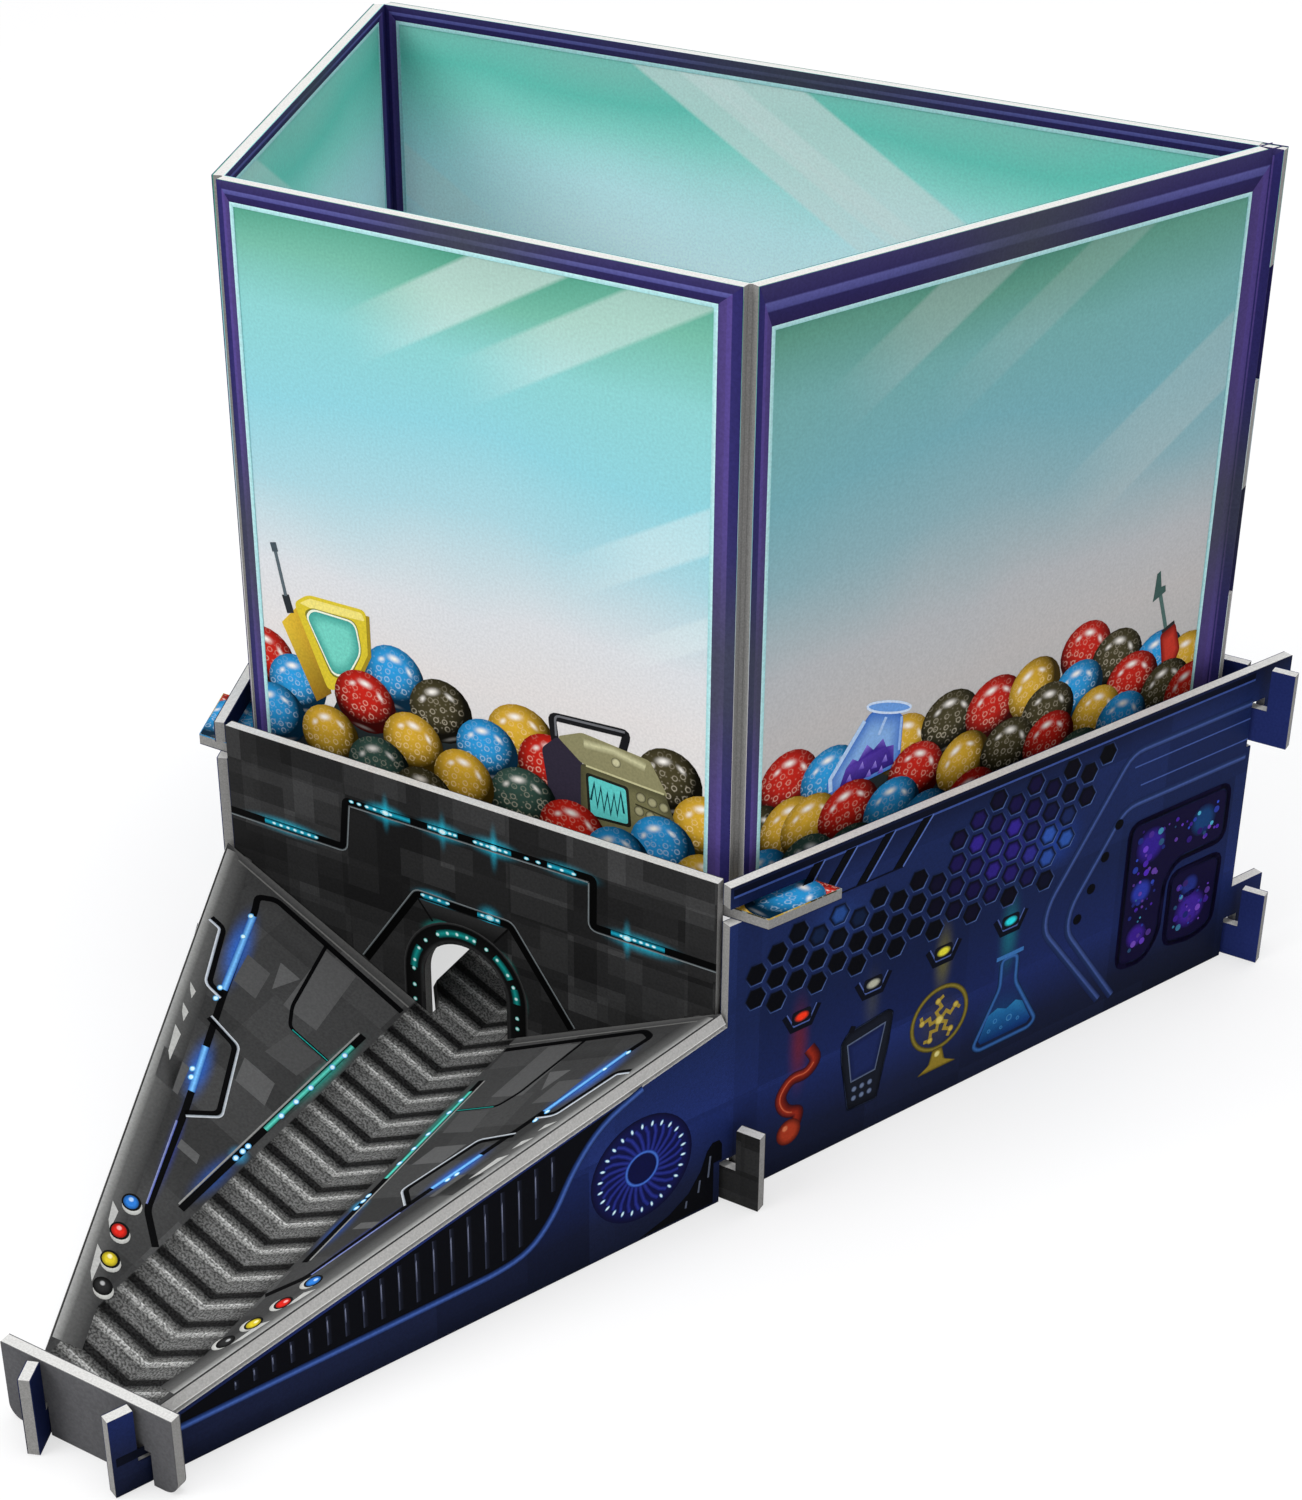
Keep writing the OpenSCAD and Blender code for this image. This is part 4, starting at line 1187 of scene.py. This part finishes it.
# the arch plate's lamp groove, hooded frame and lamp ring; right is from the plate's middle
archArt = {
    "groove": [(-48.4, 44.3), (-24.3, 44.4), (-23.3, 53.8), (25.7, 54.4), (25.6, 45.3), (48.4, 45.4)],
    "hood": [(-20.6, 22.8), (-9.2, 39.9), (9.4, 39.9), (21.2, 23.2)],
    "ringRadius": 10.5,
    "ringWidth": 3.2,
    "springZ": 24.0,
    "legBottom": 16.8,
    "ringGlows": [(76, 44), (28, 26), (150, 26), (2, 16)],    # (start, sweep) in degrees
    # (from, to, height) of the lit stretches of the grooves
    "grooveGlows": [(-41, -30, 44.4), (-19, -10, 54.0), (-6.5, -0.5, 54.1), (3, 10, 54.1), (17, 22, 54.3),
                    (29, 39, 45.4), (-8, -3, 40.0), (3, 7.5, 40.0)],
    "lampAngles": [8, 20, 33, 50, 64, 78, 86, 97, 108, 120, 138, 152, 168, 178],
    "legLamps": [(-10.5, 21.0), (-10.5, 18.0), (10.5, 21.5), (10.5, 19.4)],
    # (from, to, height, count) of the rows of small lamps
    "lampRuns": [(-39, -30, 44.4, 7), (-22, -14, 54.0, 6), (-6, -1, 54.1, 6), (3, 9, 54.1, 6),
                 (13, 22, 54.2, 5),
                 (31, 37, 45.4, 6), (-8, -3, 40.1, 4), (4, 7, 40.1, 3)],
    "brightLamps": [(-15, 54), (-3.5, 54), (6.6, 54.1), (32, 45.3), (5.5, 40.1)],
}


def archInk():
    sheet = InkSheet()
    for key in ("groove", "hood"):
        path = roundedPath(archArt[key], 0.8)
        sheet.stroke(path, 1.35, "#050505", 1)
        side = -1 if key == "groove" else 1
        sheet.spread(path, (side * 0.68, side * 0.98), ("#3c4042", "#868e90"), 2)
    sheet.fill([(-9.2, 39.0), (9.2, 39.0), (6.6, 36.2), (-6.6, 36.2)],
               ["#303030", "#303030", "#1c1c1c", "#1c1c1c"], 1)
    for side in (-1, 1):
        sheet.stroke([(side * 9.2, 39.2), (side * 6.2, 35.4)], 0.35, "#0c0c0c", 3)
    radius, spring, low = archArt["ringRadius"], archArt["springZ"], archArt["legBottom"]
    ring = [(radius, low)] + circlePoints((0, spring), radius, 25, 0, 180) + [(-radius, low)]
    half = archArt["ringWidth"] / 2
    sheet.spread(ring, (-half - 0.5, -half, half - 0.4, half), ("#3f3f3f", "#0b0b0b", "#141414", "#2e2e2e"),
                 2)
    for start, sweep in archArt["ringGlows"]:
        arc = circlePoints((0, spring), radius, 9, start, sweep)
        sheet.spread(arc, (-0.8, 0, 0.8), ("#0b2426", "#1a9c96", "#0b2426"), 2.5)
    for first, last, height in archArt["grooveGlows"]:
        sheet.spread([(first, height), ((first + last) / 2, height), (last, height)], (-0.55, 0, 0.55),
                     ("#06262e", "#1fa8c4", "#06262e"), 2.5)
    return sheet


def archLamps():
    radius, spring = archArt["ringRadius"], archArt["springZ"]
    ring = [(radius * math.cos(math.radians(a)), spring + radius * math.sin(math.radians(a)))
            for a in archArt["lampAngles"]]
    spots = lampSpots(ring + archArt["legLamps"], "#16b8a4", 3, 0.42, 0.42)
    for first, last, height, count in archArt["lampRuns"]:
        places = [(first + (last - first) * i / (count - 1), height) for i in range(count)]
        spots += lampSpots(places, cyan, 3, 0.5, 0.3)
    return spots + lampSpots(archArt["brightLamps"], "#5fe4ff", 4, 0.9, 0.55)


archMiddle = faces["arch_front"].fromMiddle()
layInk(archInk(), "arch_grooves", archMiddle, "base", ink)
stampInk(archLamps(), lampMotif(), "arch_lamps", archMiddle, "base", ink)

# the ramp wings' grooves, plates, border and buttons; right is the plan distance from the crease
wingArt = {
    "main": [(10.6, 94.4), (37.2, 95.3), (39.6, 93.2), (38.2, 90.6), (31.2, 72.4), (21.9, 50.2),
             (15.3, 32.6),
             (10.6, 28.6)],
    "bracket": [(41.8, 83.4), (39.2, 83.3), (34.2, 72.7), (31.2, 72.5)],
    "hexagon": [(30.2, 67.3), (24.2, 66.4), (18.4, 54.4), (21.9, 50.4)],
    "branch": [(26.4, 94.8), (22.9, 80.2), (20.8, 76.6), (12.8, 76.4)],
    "slot": [(12.0, 36.6), (12.0, 85.2)],
    "plates": [([(17.6, 79.6), (24.0, 79.2), (26.0, 93.8), (19.6, 93.8)], "#575757"),
               ([(25.2, 85.6), (29.2, 85.6), (27.0, 80.2)], "#5e5e5e"),
               ([(14.6, 61.4), (20.4, 61.4), (22.0, 66.0), (16.0, 66.0)], "#5a5a5a"),
               ([(14.0, 76.0), (20.0, 75.6), (20.6, 69.6), (14.6, 70.0)], "#4c4c4c"),
               ([(24.6, 52.0), (29.0, 52.0), (31.4, 57.4), (26.4, 57.4)], "#565656"),
               ([(15.2, 44.6), (19.0, 44.6), (19.4, 46.2), (15.8, 46.2)], "#5a5a5a"),
               ([(27.6, 76.4), (32.0, 76.4), (33.6, 82.4), (29.0, 82.4)], "#525252")],
    "buttons": [((17.6, 31.6), "#2f7ad2"), ((15.8, 26.5), "#d8281e"), ((13.8, 21.8), "#d8c22c"),
                ((11.8, 17.6), "#2a2a2a")],
    "buttonRadius": 1.15,
    "lamps": [(11.9, 50.2), (11.9, 52.0), (11.9, 53.4), (11.8, 62), (11.8, 66), (11.8, 70), (11.8, 76),
              (11.8, 79.5),
              (31.7, 71.2), (32.5, 73.4), (26.0, 57.6), (25.2, 56.2), (37.9, 89.0), (36.2, 84.6)],
    "borderWidth": 4.4,
    "glints": [(17, 4.6), (25.5, 3.4), (56, 5.2), (63.5, 2.0), (68, 1.6)],
}


def wingInk(outerAt):
    # outerAt gives the wing's outer edge, its distance from the crease at a plan depth
    sheet = InkSheet()
    edge = [(outerAt(y) - 0.35, y) for y in (6, 30, 60, 97.0)]
    wide = wingArt["borderWidth"]
    sheet.spread(edge, (0, 0.5, 0.34 * wide, wide), ("#a3a3a1", "#8f8f8d", "#5c5c5b", "#3a3a3a"), 1)
    for start, length in wingArt["glints"]:
        sheet.fill([(outerAt(start) - 3.1, start), (outerAt(start + length) - 3.4, start + length),
                    (outerAt(start + length) - 1.7, start + length + 0.8),
                    (outerAt(start) - 1.9, start + 1.2)],
                   "#b5b5b2", 2)
    rear = outerAt(97)
    sheet.fill([(10.4, 96.2), (rear - 3.2, 96.7), (rear - 0.8, 98.1), (10.4, 98.1)],
               ["#3f3f3f", "#3f3f3f", "#5c5c5b", "#565655"], 2)
    sheet.stroke([(10.4, 96.1), (rear - 3.0, 96.6)], 0.3, "#6f6f6d", 3)
    for outline, shade in wingArt["plates"]:
        sheet.fill(outline, shade, 1)
    for key, width in (("main", 1.1), ("bracket", 0.9), ("hexagon", 0.85), ("branch", 0.6), ("slot", 1.1)):
        sheet.stroke(roundedPath(wingArt[key], 1.0), width, "#070708", 3)
    sheet.spread(roundedPath(wingArt["bracket"], 0.8), (0.42, 0.85), ("#8f98a4", "#d8dde4"), 4)
    sheet.spread(roundedPath(wingArt["hexagon"], 0.5), (-0.4, -0.8), ("#7f8790", "#cfd3d8"), 4)
    sheet.spread([(21.4, 48.4), (15.5, 33.4)], (0.3, 0.62), ("#4c5aa8", "#8d95b8"), 4)
    sheet.stroke([(12.75, 37.0), (12.75, 85.0)], 0.28, "#8d8d8b", 4)
    sheet.stroke([(13.0, 76.4), (20.2, 76.5)], 0.22, "#1f8f86", 4)
    sheet.spread([(11.95, 58.0), (11.95, 70.0), (11.95, 82.0)], (-0.45, 0, 0.45),
                 ("#16544c", "#5fd8c4", "#16544c"), 4)
    for first, last in (((31.9, 73.6), (37.7, 89.4)), ((23.6, 54.2), (27.2, 62.6))):
        sheet.spread([first, last], (-0.62, 0, 0.62), ("#1c4a9c", "#7cc4ff", "#1c4a9c"), 4)
    radius = wingArt["buttonRadius"]
    for (x, y), shade in wingArt["buttons"]:
        sheet.disc((x - 0.5, y - 0.35), radius * 1.32, "#c9c9c4", "#a8a8a4", 4)
        sheet.disc((x - 0.05, y + 0.05), radius * 1.28, "#191919", "#101010", 5)
        sheet.disc((x, y), radius, shade, blendHex(shade, "#000000", 0.35), 6)
        sheet.disc((x + 0.25, y + 0.35), radius * 0.4, blendHex(shade, "#ffffff", 0.6), shade, 7, 12)
    return sheet


for side, sign in (("left", -1), ("right", 1)):
    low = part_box(f"ramp_{side}_print")[0]
    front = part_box("stop_front_print")[0].y
    corners = [v.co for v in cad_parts[f"ramp_{side}_print"].data.vertices]
    corner = max(corners, key=lambda co: sign * co.x)
    first = max((co for co in corners if co.y < low.y + 0.5 * mm), key=lambda co: sign * co.x)
    slope = (abs(corner.x) - abs(first.x)) / (corner.y - first.y)
    reach = abs(corner.x) / mm - slope * (corner.y - front) / mm
    print("ramp", side, "outer edge at the front", round(reach, 2), "slope", round(slope, 4))
    layInk(wingInk(lambda y: reach + slope * y), f"ramp_{side}_wing", faces[f"ramp_{side}"], "base",
           ink)
    stampInk(lampSpots(wingArt["lamps"], "#49b8ff", 5, 0.45, 0.6), lampMotif(), f"ramp_{side}_lamps",
             faces[f"ramp_{side}"], "base", ink)
print("arch and ramp artwork printed")

# on the side panels right runs rearward from the nose tip
comb = {
    "first": (117.0, 38.1),    # centre of the first full cell
    "column": 4.29,
    "row": 4.62,
    "cell": 2.34,              # half a cell's width over its points
    # lowest and highest cell of each column
    "rows": [(0, 1)] + [(0, 2)] * 9 + [(0, 3)] + [(0, 4)] * 5 + [(1, 4), (3, 4), (4, 4)],
    # (right, up, reach along, reach up) of the light behind the cells
    "violet": (171, 47, 13, 9),
    "azure": (183, 43, 4.5, 4.5),
    "faint": (134, 46.4, 5, 2.4),
}


def combMotif():
    sheet = InkSheet()
    outer, inner, core = (circlePoints((0, 0), r, 6) for r in (1.0, 0.86, 0.5))
    rim = ["#3d5288", "#24335e", "#18223f", "#1e2b50", "#405892", "#6480c0"]
    sheet.film(outer + inner + core, rim + ["#04050c"] * 6 + ["#000000"] * 6,
               [(i, (i + 1) % 6, 6 + (i + 1) % 6, 6 + i) for i in range(6)]
               + [(6 + i, 6 + (i + 1) % 6, 12 + (i + 1) % 6, 12 + i) for i in range(6)]
               + [tuple(range(12, 18))], 1)
    for k in range(36):
        if k % 18 >= 12:
            sheet.shades[k][3] = 0.0    # the core takes the stamp's tone
    return sheet


def lightAt(key, x, y):
    right, rise, along, over = comb[key]
    return math.exp(-((x - right) / along) ** 2 - ((y - rise) / over) ** 2)


def combSpots():
    chance = random.Random(11)
    spots = []
    for column, (lowest, highest) in enumerate(comb["rows"]):
        for row in range(lowest, highest + 1):
            x = comb["first"][0] + column * comb["column"]
            y = comb["first"][1] + row * comb["row"] - (comb["row"] / 2 if column % 2 else 0)
            azure = max(lightAt("azure", x, y), 0.75 * lightAt("faint", x, y))
            tone = blendHex("#020309", "#33248c", min(1, lightAt("violet", x, y) * chance.uniform(0.5,
                                                                                                  1.4)))
            tone = blendHex(tone, "#3a70d4", min(1, azure))
            spots.append((x, y, 3, 0, comb["cell"], comb["cell"], tone, 0.0))
    return spots


fan = {
    "centre": (94.4, 14.6), "radius": 9.7, "hub": 3.2, "blades": 26,
    # a blade's middle line, half its width and its tones, as shares of the radius
    "blade": [(0.5, 0.05), (0.68, 0.13), (0.8, 0.24)],
    "bladeHalf": 0.045,
    "bladeTones": ("#141a58", "#2a3490", "#10144a"),
    # (share of the radius, tone) of the dish, from its rim in
    "dish": [(1.04, "#0b0d2c"), (0.9, "#14174a"), (0.4, "#0e1240")],
    "lampsAt": 0.86,
    "lamp": (0.62, 0.3, "#2f68b8"),
}


def bladeMotif():
    # one swept blade, from the hub out along the motif's right
    half = fan["bladeHalf"]
    sheet = InkSheet()
    sheet.spread([(fan["hub"] / fan["radius"], 0.0)] + fan["blade"], (-half, 0.0, half), fan["bladeTones"],
                 1)
    return sheet


def fanInk():
    sheet = InkSheet()
    centre, radius = fan["centre"], fan["radius"]
    sheet.mound([(circlePoints(centre, radius * share, 40), tone) for share, tone in fan["dish"]], 1)
    sheet.spread(circlePoints(centre, fan["hub"], 30), (-0.25, 0.1, 0.4), ("#182a7c", "#4a78d8", "#16246c"),
                 5,
                 True)
    return sheet


def fanSpots():
    (x, y), radius = fan["centre"], fan["radius"]
    long, wide, tone = fan["lamp"]
    blades, lamps = [], []
    for i in range(fan["blades"]):
        blades.append((x, y, 3, 360 * i / fan["blades"], radius, radius, "#000000", 0.0))
        angle = 2 * math.pi * (i + 0.5) / fan["blades"]
        out = fan["lampsAt"] * radius
        lamps.append((x + out * math.cos(angle), y + out * math.sin(angle), 4, math.degrees(angle), long,
                      wide,
                      tone, 0.0))
    return blades, lamps


grille = {
    "trim": [(10.9, 7.4), (66.5, 7.6), (72.5, 8.8), (77.0, 13.4), (81.2, 21.2), (86.6, 27.2), (94.5, 30.4)],
    "slatsFrom": 20.5, "slatsTo": 80.0, "pitch": 3.15,
    "foot": 9.4, "footRisesFrom": 70, "footSlope": 1.25,    # the slats' lower ends
    "topGap": 1.2, "shortest": 1.5,
}


sideSlope = {"front": (11.0, 9.9), "rear": (110.4, 34.6)}    # ends of the sloped edge under the ramp


def slopeHeight(right):
    (x, low), (end, high) = sideSlope["front"], sideSlope["rear"]
    return low + (high - low) * (right - x) / (end - x)


def grilleInk():
    sheet = InkSheet()
    trim = roundedPath(grille["trim"], 5.0)
    sheet.fill(trim + [(94.5, slopeHeight(94.5) - 0.25), (11.2, slopeHeight(11.2) - 0.3)], "#06070d", 1)
    sheet.spread(trim, (0.7, 0.2, -0.15, -0.8), ("#0a1024", "#26407c", "#4868b4", "#131d42"), 2)
    sheet.fill([(0.6, 5.6), (10.9, 5.6), (10.9, 7.2), (0.6, 7.2)], "#0a0e1c", 2)
    return sheet


def slatMotif():
    sheet = InkSheet()
    sheet.spread([(0, 0), (0, 0.5), (0, 1.0)], (0.42, 0.1, -0.42), ("#3a3f52", "#171a26", "#0a0b12"), 1)
    sheet.fill([(-0.34, 0.42), (-0.12, 0.42), (-0.16, 0.86), (-0.34, 0.8)],
               ["#3a3f52", "#4a5068", "#8f96b0", "#6a7088"], 2)
    return sheet


def slatSpots():
    spots = []
    count = int((grille["slatsTo"] - grille["slatsFrom"]) / grille["pitch"]) + 1
    for i in range(count):
        x = grille["slatsFrom"] + i * grille["pitch"]
        low = grille["foot"] + max(0.0, (x - grille["footRisesFrom"]) * grille["footSlope"])
        tall = slopeHeight(x) - grille["topGap"] - low
        if tall > grille["shortest"]:
            spots.append((x, low, 2, 0, 1.0, tall, "#000000", 0.0))
    return spots


bodywork = {
    # each louvre's place at its top and at its bottom
    "louvres": [(128.2, 122.8), (135.0, 129.2), (143.2, 137.3), (151.4, 145.2)],
    "louvreTop": 59.2, "louvreBottom": 51.4, "louvreWidth": 2.3,
    "brackets": [[(231, 54.6), (200.6, 54.6), (182.6, 30.0), (182.0, 24.6), (198.0, 3.6)],
                 [(231, 43.6), (200.2, 43.6), (188.4, 27.4), (187.8, 22.2), (201.5, 3.0)]],
    "ridges": [[(201.5, 51.2), (231, 51.2)], [(203.5, 47.0), (231, 47.0)]],
    "vent": [(94.0, 0.4), (109.1, 0.4), (109.1, 8.6), (110.8, 8.6), (110.8, 11.8), (110.2, 12.9),
             (108.8, 12.9),
             (107.7, 11.7), (106.4, 8.2), (104.0, 4.8), (100.0, 2.2)],
    "ventStreaks": [((108.0, 6.2), (108.4, 10.4)), ((106.0, 4.0), (106.3, 6.4)),
                    ((103.4, 2.0), (103.6, 3.4))],
    "holes": [(199.0, 40.6), (196.2, 34.9), (193.4, 29.3), (190.6, 24.0)],
    "windows": [[(202.6, 38.6), (227.4, 38.6), (227.4, 27.4), (215.4, 27.4), (212.4, 23.8), (212.2, 12.4),
                 (209.0, 8.2), (202.6, 8.8)],
                [(214.8, 24.0), (227.2, 24.0), (226.8, 9.4), (222.0, 8.0), (214.8, 9.2)]],
    # soft clouds of light in the windows: (centre, radius, colour)
    "nebulae": [((208.0, 33.0), 3.9, "#34208c"), ((221.5, 33.4), 3.4, "#163f72"),
                ((206.6, 23.6), 2.8, "#2c3aa4"),
                ((206.6, 14.2), 2.7, "#3c1f8e"), ((220.6, 14.6), 4.2, "#3f2494"),
                ((219.8, 20.0), 2.4, "#24307e")],
    # (left, right, low, high, count) of the points of light, kept clear of the windows' frames
    "stars": [(204.4, 225.6, 29.4, 36.8, 34), (204.4, 210.4, 11.0, 30.0, 34),
              (216.6, 225.2, 11.0, 22.2, 40)],
    "starTones": ["#5a2fc8", "#7a4ae0", "#3a5ae0", "#8a5ad8", "#5ac8e8"],
    "starSizes": [0.22, 0.3, 0.45, 0.7],
    "lampHolders": [(126.9, "#ff3a1c"), (142.4, "#b8b8a4"), (158.2, "#e8e03c"), (173.8, "#2ce0e8")],
    "holderHeight": 30.0,
}

# across a line pressed into the panels: offsets from its path, and their tones
pressedEdge = ((-0.7, 0.0, 0.22, 1.0), ("#17214a", "#22345e", "#465c9c", "#121a3a"))


def bodyworkInk():
    sheet = InkSheet()
    top, bottom, wide = bodywork["louvreTop"], bodywork["louvreBottom"], bodywork["louvreWidth"]
    sheet.fill([(112.0, 59.3), (231, 59.3), (231, 60.5), (112.0, 60.5)], "#090d1e", 1)
    sheet.fill([(112.0, 58.9), (231, 58.9), (231, 59.3), (112.0, 59.3)], "#3b5192", 2)
    for high, low in bodywork["louvres"]:
        sheet.fill([(low, bottom), (low + wide, bottom), (high + wide, top), (high, top)], "#04050b", 3)
        sheet.stroke([(low + wide, bottom), (high + wide, top)], 0.3, "#5770b4", 4)
    sheet.stroke([(bodywork["louvres"][1][1], bottom), (bodywork["louvres"][3][1] + wide, bottom)], 0.3,
                 "#0a0e20", 4)
    for path in bodywork["brackets"]:
        sheet.spread(roundedPath(path, 3.0), *pressedEdge, 1)
    for path in bodywork["ridges"]:
        sheet.stroke(path, 0.28, "#43599a", 2)
    sheet.fill(bodywork["vent"], "#07080d", 2)
    for start, end in bodywork["ventStreaks"]:
        sheet.stroke([start, end], 0.35, "#5a6274", 3)
    for centre in bodywork["holes"]:
        sheet.disc(centre, 1.05, "#020308", "#05060f", 3, 14)
    for path in bodywork["windows"]:
        outline = roundedPath(path, 2.2, True)
        sheet.mound([(offsetPath(outline, -0.4, True), "#1c2950"), (outline, "#030309"),
                     (offsetPath(outline, 0.9, True), "#100b30")], 3)
    for centre, radius, shade in bodywork["nebulae"]:
        sheet.disc(centre, radius, shade, "#100b30", 4)
    for x, shade in bodywork["lampHolders"]:
        y = bodywork["holderHeight"]
        path = [(x - 3.6, y + 1.6), (x - 1.9, y - 1.6), (x + 1.9, y - 1.6), (x + 3.6, y + 1.6)]
        sheet.stroke(path, 1.3, "#080b18", 2)
        sheet.spread(path, (0.35, 0.62), ("#3a4a80", "#5a70b0"), 3)
        lamp = roundedPath([(x - 2.1, y - 0.9), (x + 2.1, y - 0.9), (x + 2.0, y + 1.7), (x - 2.0, y + 1.7)],
                           0.7, True)
        sheet.fill(lamp, "#10121c", 4)
        sheet.disc((x, y + 0.4), 1.6, shade, blendHex(shade, "#10121c", 0.75), 5, 16, 0.6)
    return sheet


def starSpots():
    chance = random.Random(5)
    spots = []
    for left, right, low, high, count in bodywork["stars"]:
        for i in range(count):
            size = chance.choice(bodywork["starSizes"])
            spots.append((chance.uniform(left, right), chance.uniform(low, high), 5 + i * 0.02, 0, size,
                          size,
                          blendHex(chance.choice(bodywork["starTones"]), "#120c34",
                                   chance.uniform(0.1, 0.7)), 0.0))
    return spots


def sidePictures():
    # four generic pictures: a curl of lava, a handheld, a globe on a stand and a flask
    sheet = InkSheet()
    curl = roundedPath([(129.0, 23.2), (130.9, 20.2), (128.6, 17.8), (125.2, 18.4), (122.8, 15.4),
                        (124.2, 12.2),
                        (127.4, 11.2), (126.6, 8.6)], 1.6)
    sheet.spread(curl, (-1.4, -0.5, 0.4, 1.1), ("#1c0c18", "#9c2c1a", "#6a1a12", "#1c0c18"), 1)
    sheet.spread(curl[4:-6], (-0.45, -0.15), ("#d06a48", "#a83a22"), 2)
    sheet.disc((125.0, 7.6), 2.6, "#b03c22", "#4a1612", 3)
    sheet.disc((124.2, 8.6), 0.7, "#e07c54", "#a83a22", 4, 12)
    case = roundedPath([(135.8, 20.6), (137.2, 22.5), (146.2, 23.7), (147.5, 22.8), (146.8, 16.2),
                        (144.6, 5.6),
                        (137.9, 5.9), (136.0, 16.8)], 0.6, True)
    sheet.mound([(offsetPath(case, -0.25, True), "#33405e"), (case, "#080a12"),
                 (shrunk(case, 0.8), "#171b26")], 2)
    screen = [(137.6, 19.6), (145.4, 20.8), (143.7, 12.4), (138.7, 12.1)]
    sheet.mound([(shrunk(screen, 1.1), "#6a7892"), (screen, "#151e46"), (shrunk(screen, 0.7), "#1c2858")],
                3)
    for row in range(2):
        for column in range(3):
            sheet.disc((139.3 + column * 1.75, 10.0 - row * 1.9), 0.6, "#6d7c98", "#2a3450", 4, 10)
    sheet.stroke([(137.9, 22.2), (138.5, 23.4)], 1.2, "#0c0e16", 3)
    sheet.spread(circlePoints((158.3, 16.6), 6.3, 36), (-0.5, 0, 0.5), ("#2a2818", "#8c7c30", "#38321a"), 1,
                 True)
    for start in range(5):
        base = Vector((158.3, 16.2))
        path = [tuple(base + Matrix.Rotation(math.radians(start * 72 + 14), 2) @ Vector(p))
                for p in ((0.4, 0), (1.8, 0.9), (2.6, -0.2), (4.0, 0.8), (4.8, -0.4))]
        sheet.stroke(path, 0.7, "#a08836", 2 + start * 0.2)
        sheet.disc(path[-2], 0.7, "#c8b050", "#7c6828", 3 + start * 0.1, 10)
    sheet.disc((158.3, 16.2), 1.0, "#d8c468", "#94802c", 4)
    stand = roundedPath([(157.2, 10.2), (159.4, 10.2), (160.2, 7.2), (163.0, 5.8), (153.8, 5.8),
                         (156.4, 7.2)], 0.5, True)
    sheet.mound([(stand, "#4a4018"), (shrunk(stand, 0.7), "#96802c")], 2)
    sheet.disc((158.3, 9.0), 0.7, "#e8dc90", "#b09c38", 4, 12)
    flask = roundedPath([(172.6, 22.6), (172.6, 16.8), (167.0, 6.4), (168.4, 5.2), (180.6, 5.2),
                         (182.0, 6.4),
                         (176.2, 16.8), (176.2, 22.6)], 1.2, True)
    sheet.spread(flask, (-0.6, 0, 0.45), ("#070c1c", "#3a6cb0", "#16305c"), 1, True)
    liquid = [(170.2, 11.8), (172.4, 12.6), (174.6, 11.6), (176.8, 12.6), (178.4, 11.8), (180.8, 7.2),
              (180.0, 6.3),
              (168.8, 6.3), (168.2, 7.2)]
    sheet.fill(liquid, ["#226ca4", "#2e80b4", "#226ca4", "#2e80b4", "#1e6498", "#123c7c", "#0e2f66",
                        "#0e2f66",
                        "#123c7c"], 2)
    sheet.stroke([(171.2, 23.2), (177.6, 23.2)], 0.8, "#3c74b4", 3)
    for x, y, r in ((172.0, 10.0, 0.5), (175.4, 9.4, 0.7), (177.6, 8.4, 0.4), (173.6, 8.0, 0.35),
                    (170.6, 8.4, 0.4)):
        sheet.disc((x, y), r, "#1c5c9c", "#4c94c4", 4, 12)
    return sheet


for side, face in sideFaces.items():
    layInk(bodyworkInk(), f"{side}_side_bodywork", face, "base", ink)
    layInk(grilleInk(), f"{side}_side_grille", face, "base", ink)
    layInk(fanInk(), f"{side}_side_fan", face, "base", ink)
    layInk(sidePictures(), f"{side}_side_pictures", face, "base", ink)
    stampInk(combSpots(), combMotif(), f"{side}_side_honeycomb", face, "base", ink)
    stampInk(slatSpots(), slatMotif(), f"{side}_side_slats", face, "base", ink)
    blades, lamps = fanSpots()
    stampInk(blades, bladeMotif(), f"{side}_side_blades", face, "base", ink)
    stampInk(lamps, lampMotif(), f"{side}_side_fan_lamps", face, "base", ink)
    stampInk(starSpots(), lampMotif(None), f"{side}_side_stars", face, "base", ink)
print("side panels printed")

# the back plate: two pressed panels with a run of honeycomb between them
backArt = {
    "panel": [(14, 8), (14, 46), (22, 53), (66, 53), (74, 44), (74, 16), (66, 8)],
    "columns": 9, "rows": 6,
    "lowest": 16.5,    # centre of the lowest row of cells
}


def backInk(width):
    sheet = InkSheet()
    for flip in (False, True):
        path = [(width - x, y) for x, y in backArt["panel"]][::-1] if flip else backArt["panel"]
        sheet.spread(roundedPath(path, 3.0, True), *pressedEdge, 1, True)
        sheet.mound([(shrunk(path, 0.86), "#121a3c"), (shrunk(path, 0.72), "#1a2552")], 1)
    return sheet


backFace = faces["back_outer"]
layInk(backInk(backFace.width), "back_panels", backFace, "base", ink)
firstColumn = (backFace.width - (backArt["columns"] - 1) * comb["column"]) / 2
cells = [(firstColumn + column * comb["column"], backArt["lowest"] + (row + column % 2 / 2) * comb["row"],
          1, 0,
          comb["cell"], comb["cell"], "#05060f", 0.0)
         for column in range(backArt["columns"]) for row in range(backArt["rows"])]
stampInk(cells, combMotif(), "back_honeycomb", backFace, "base", ink)
print("back plate printed")
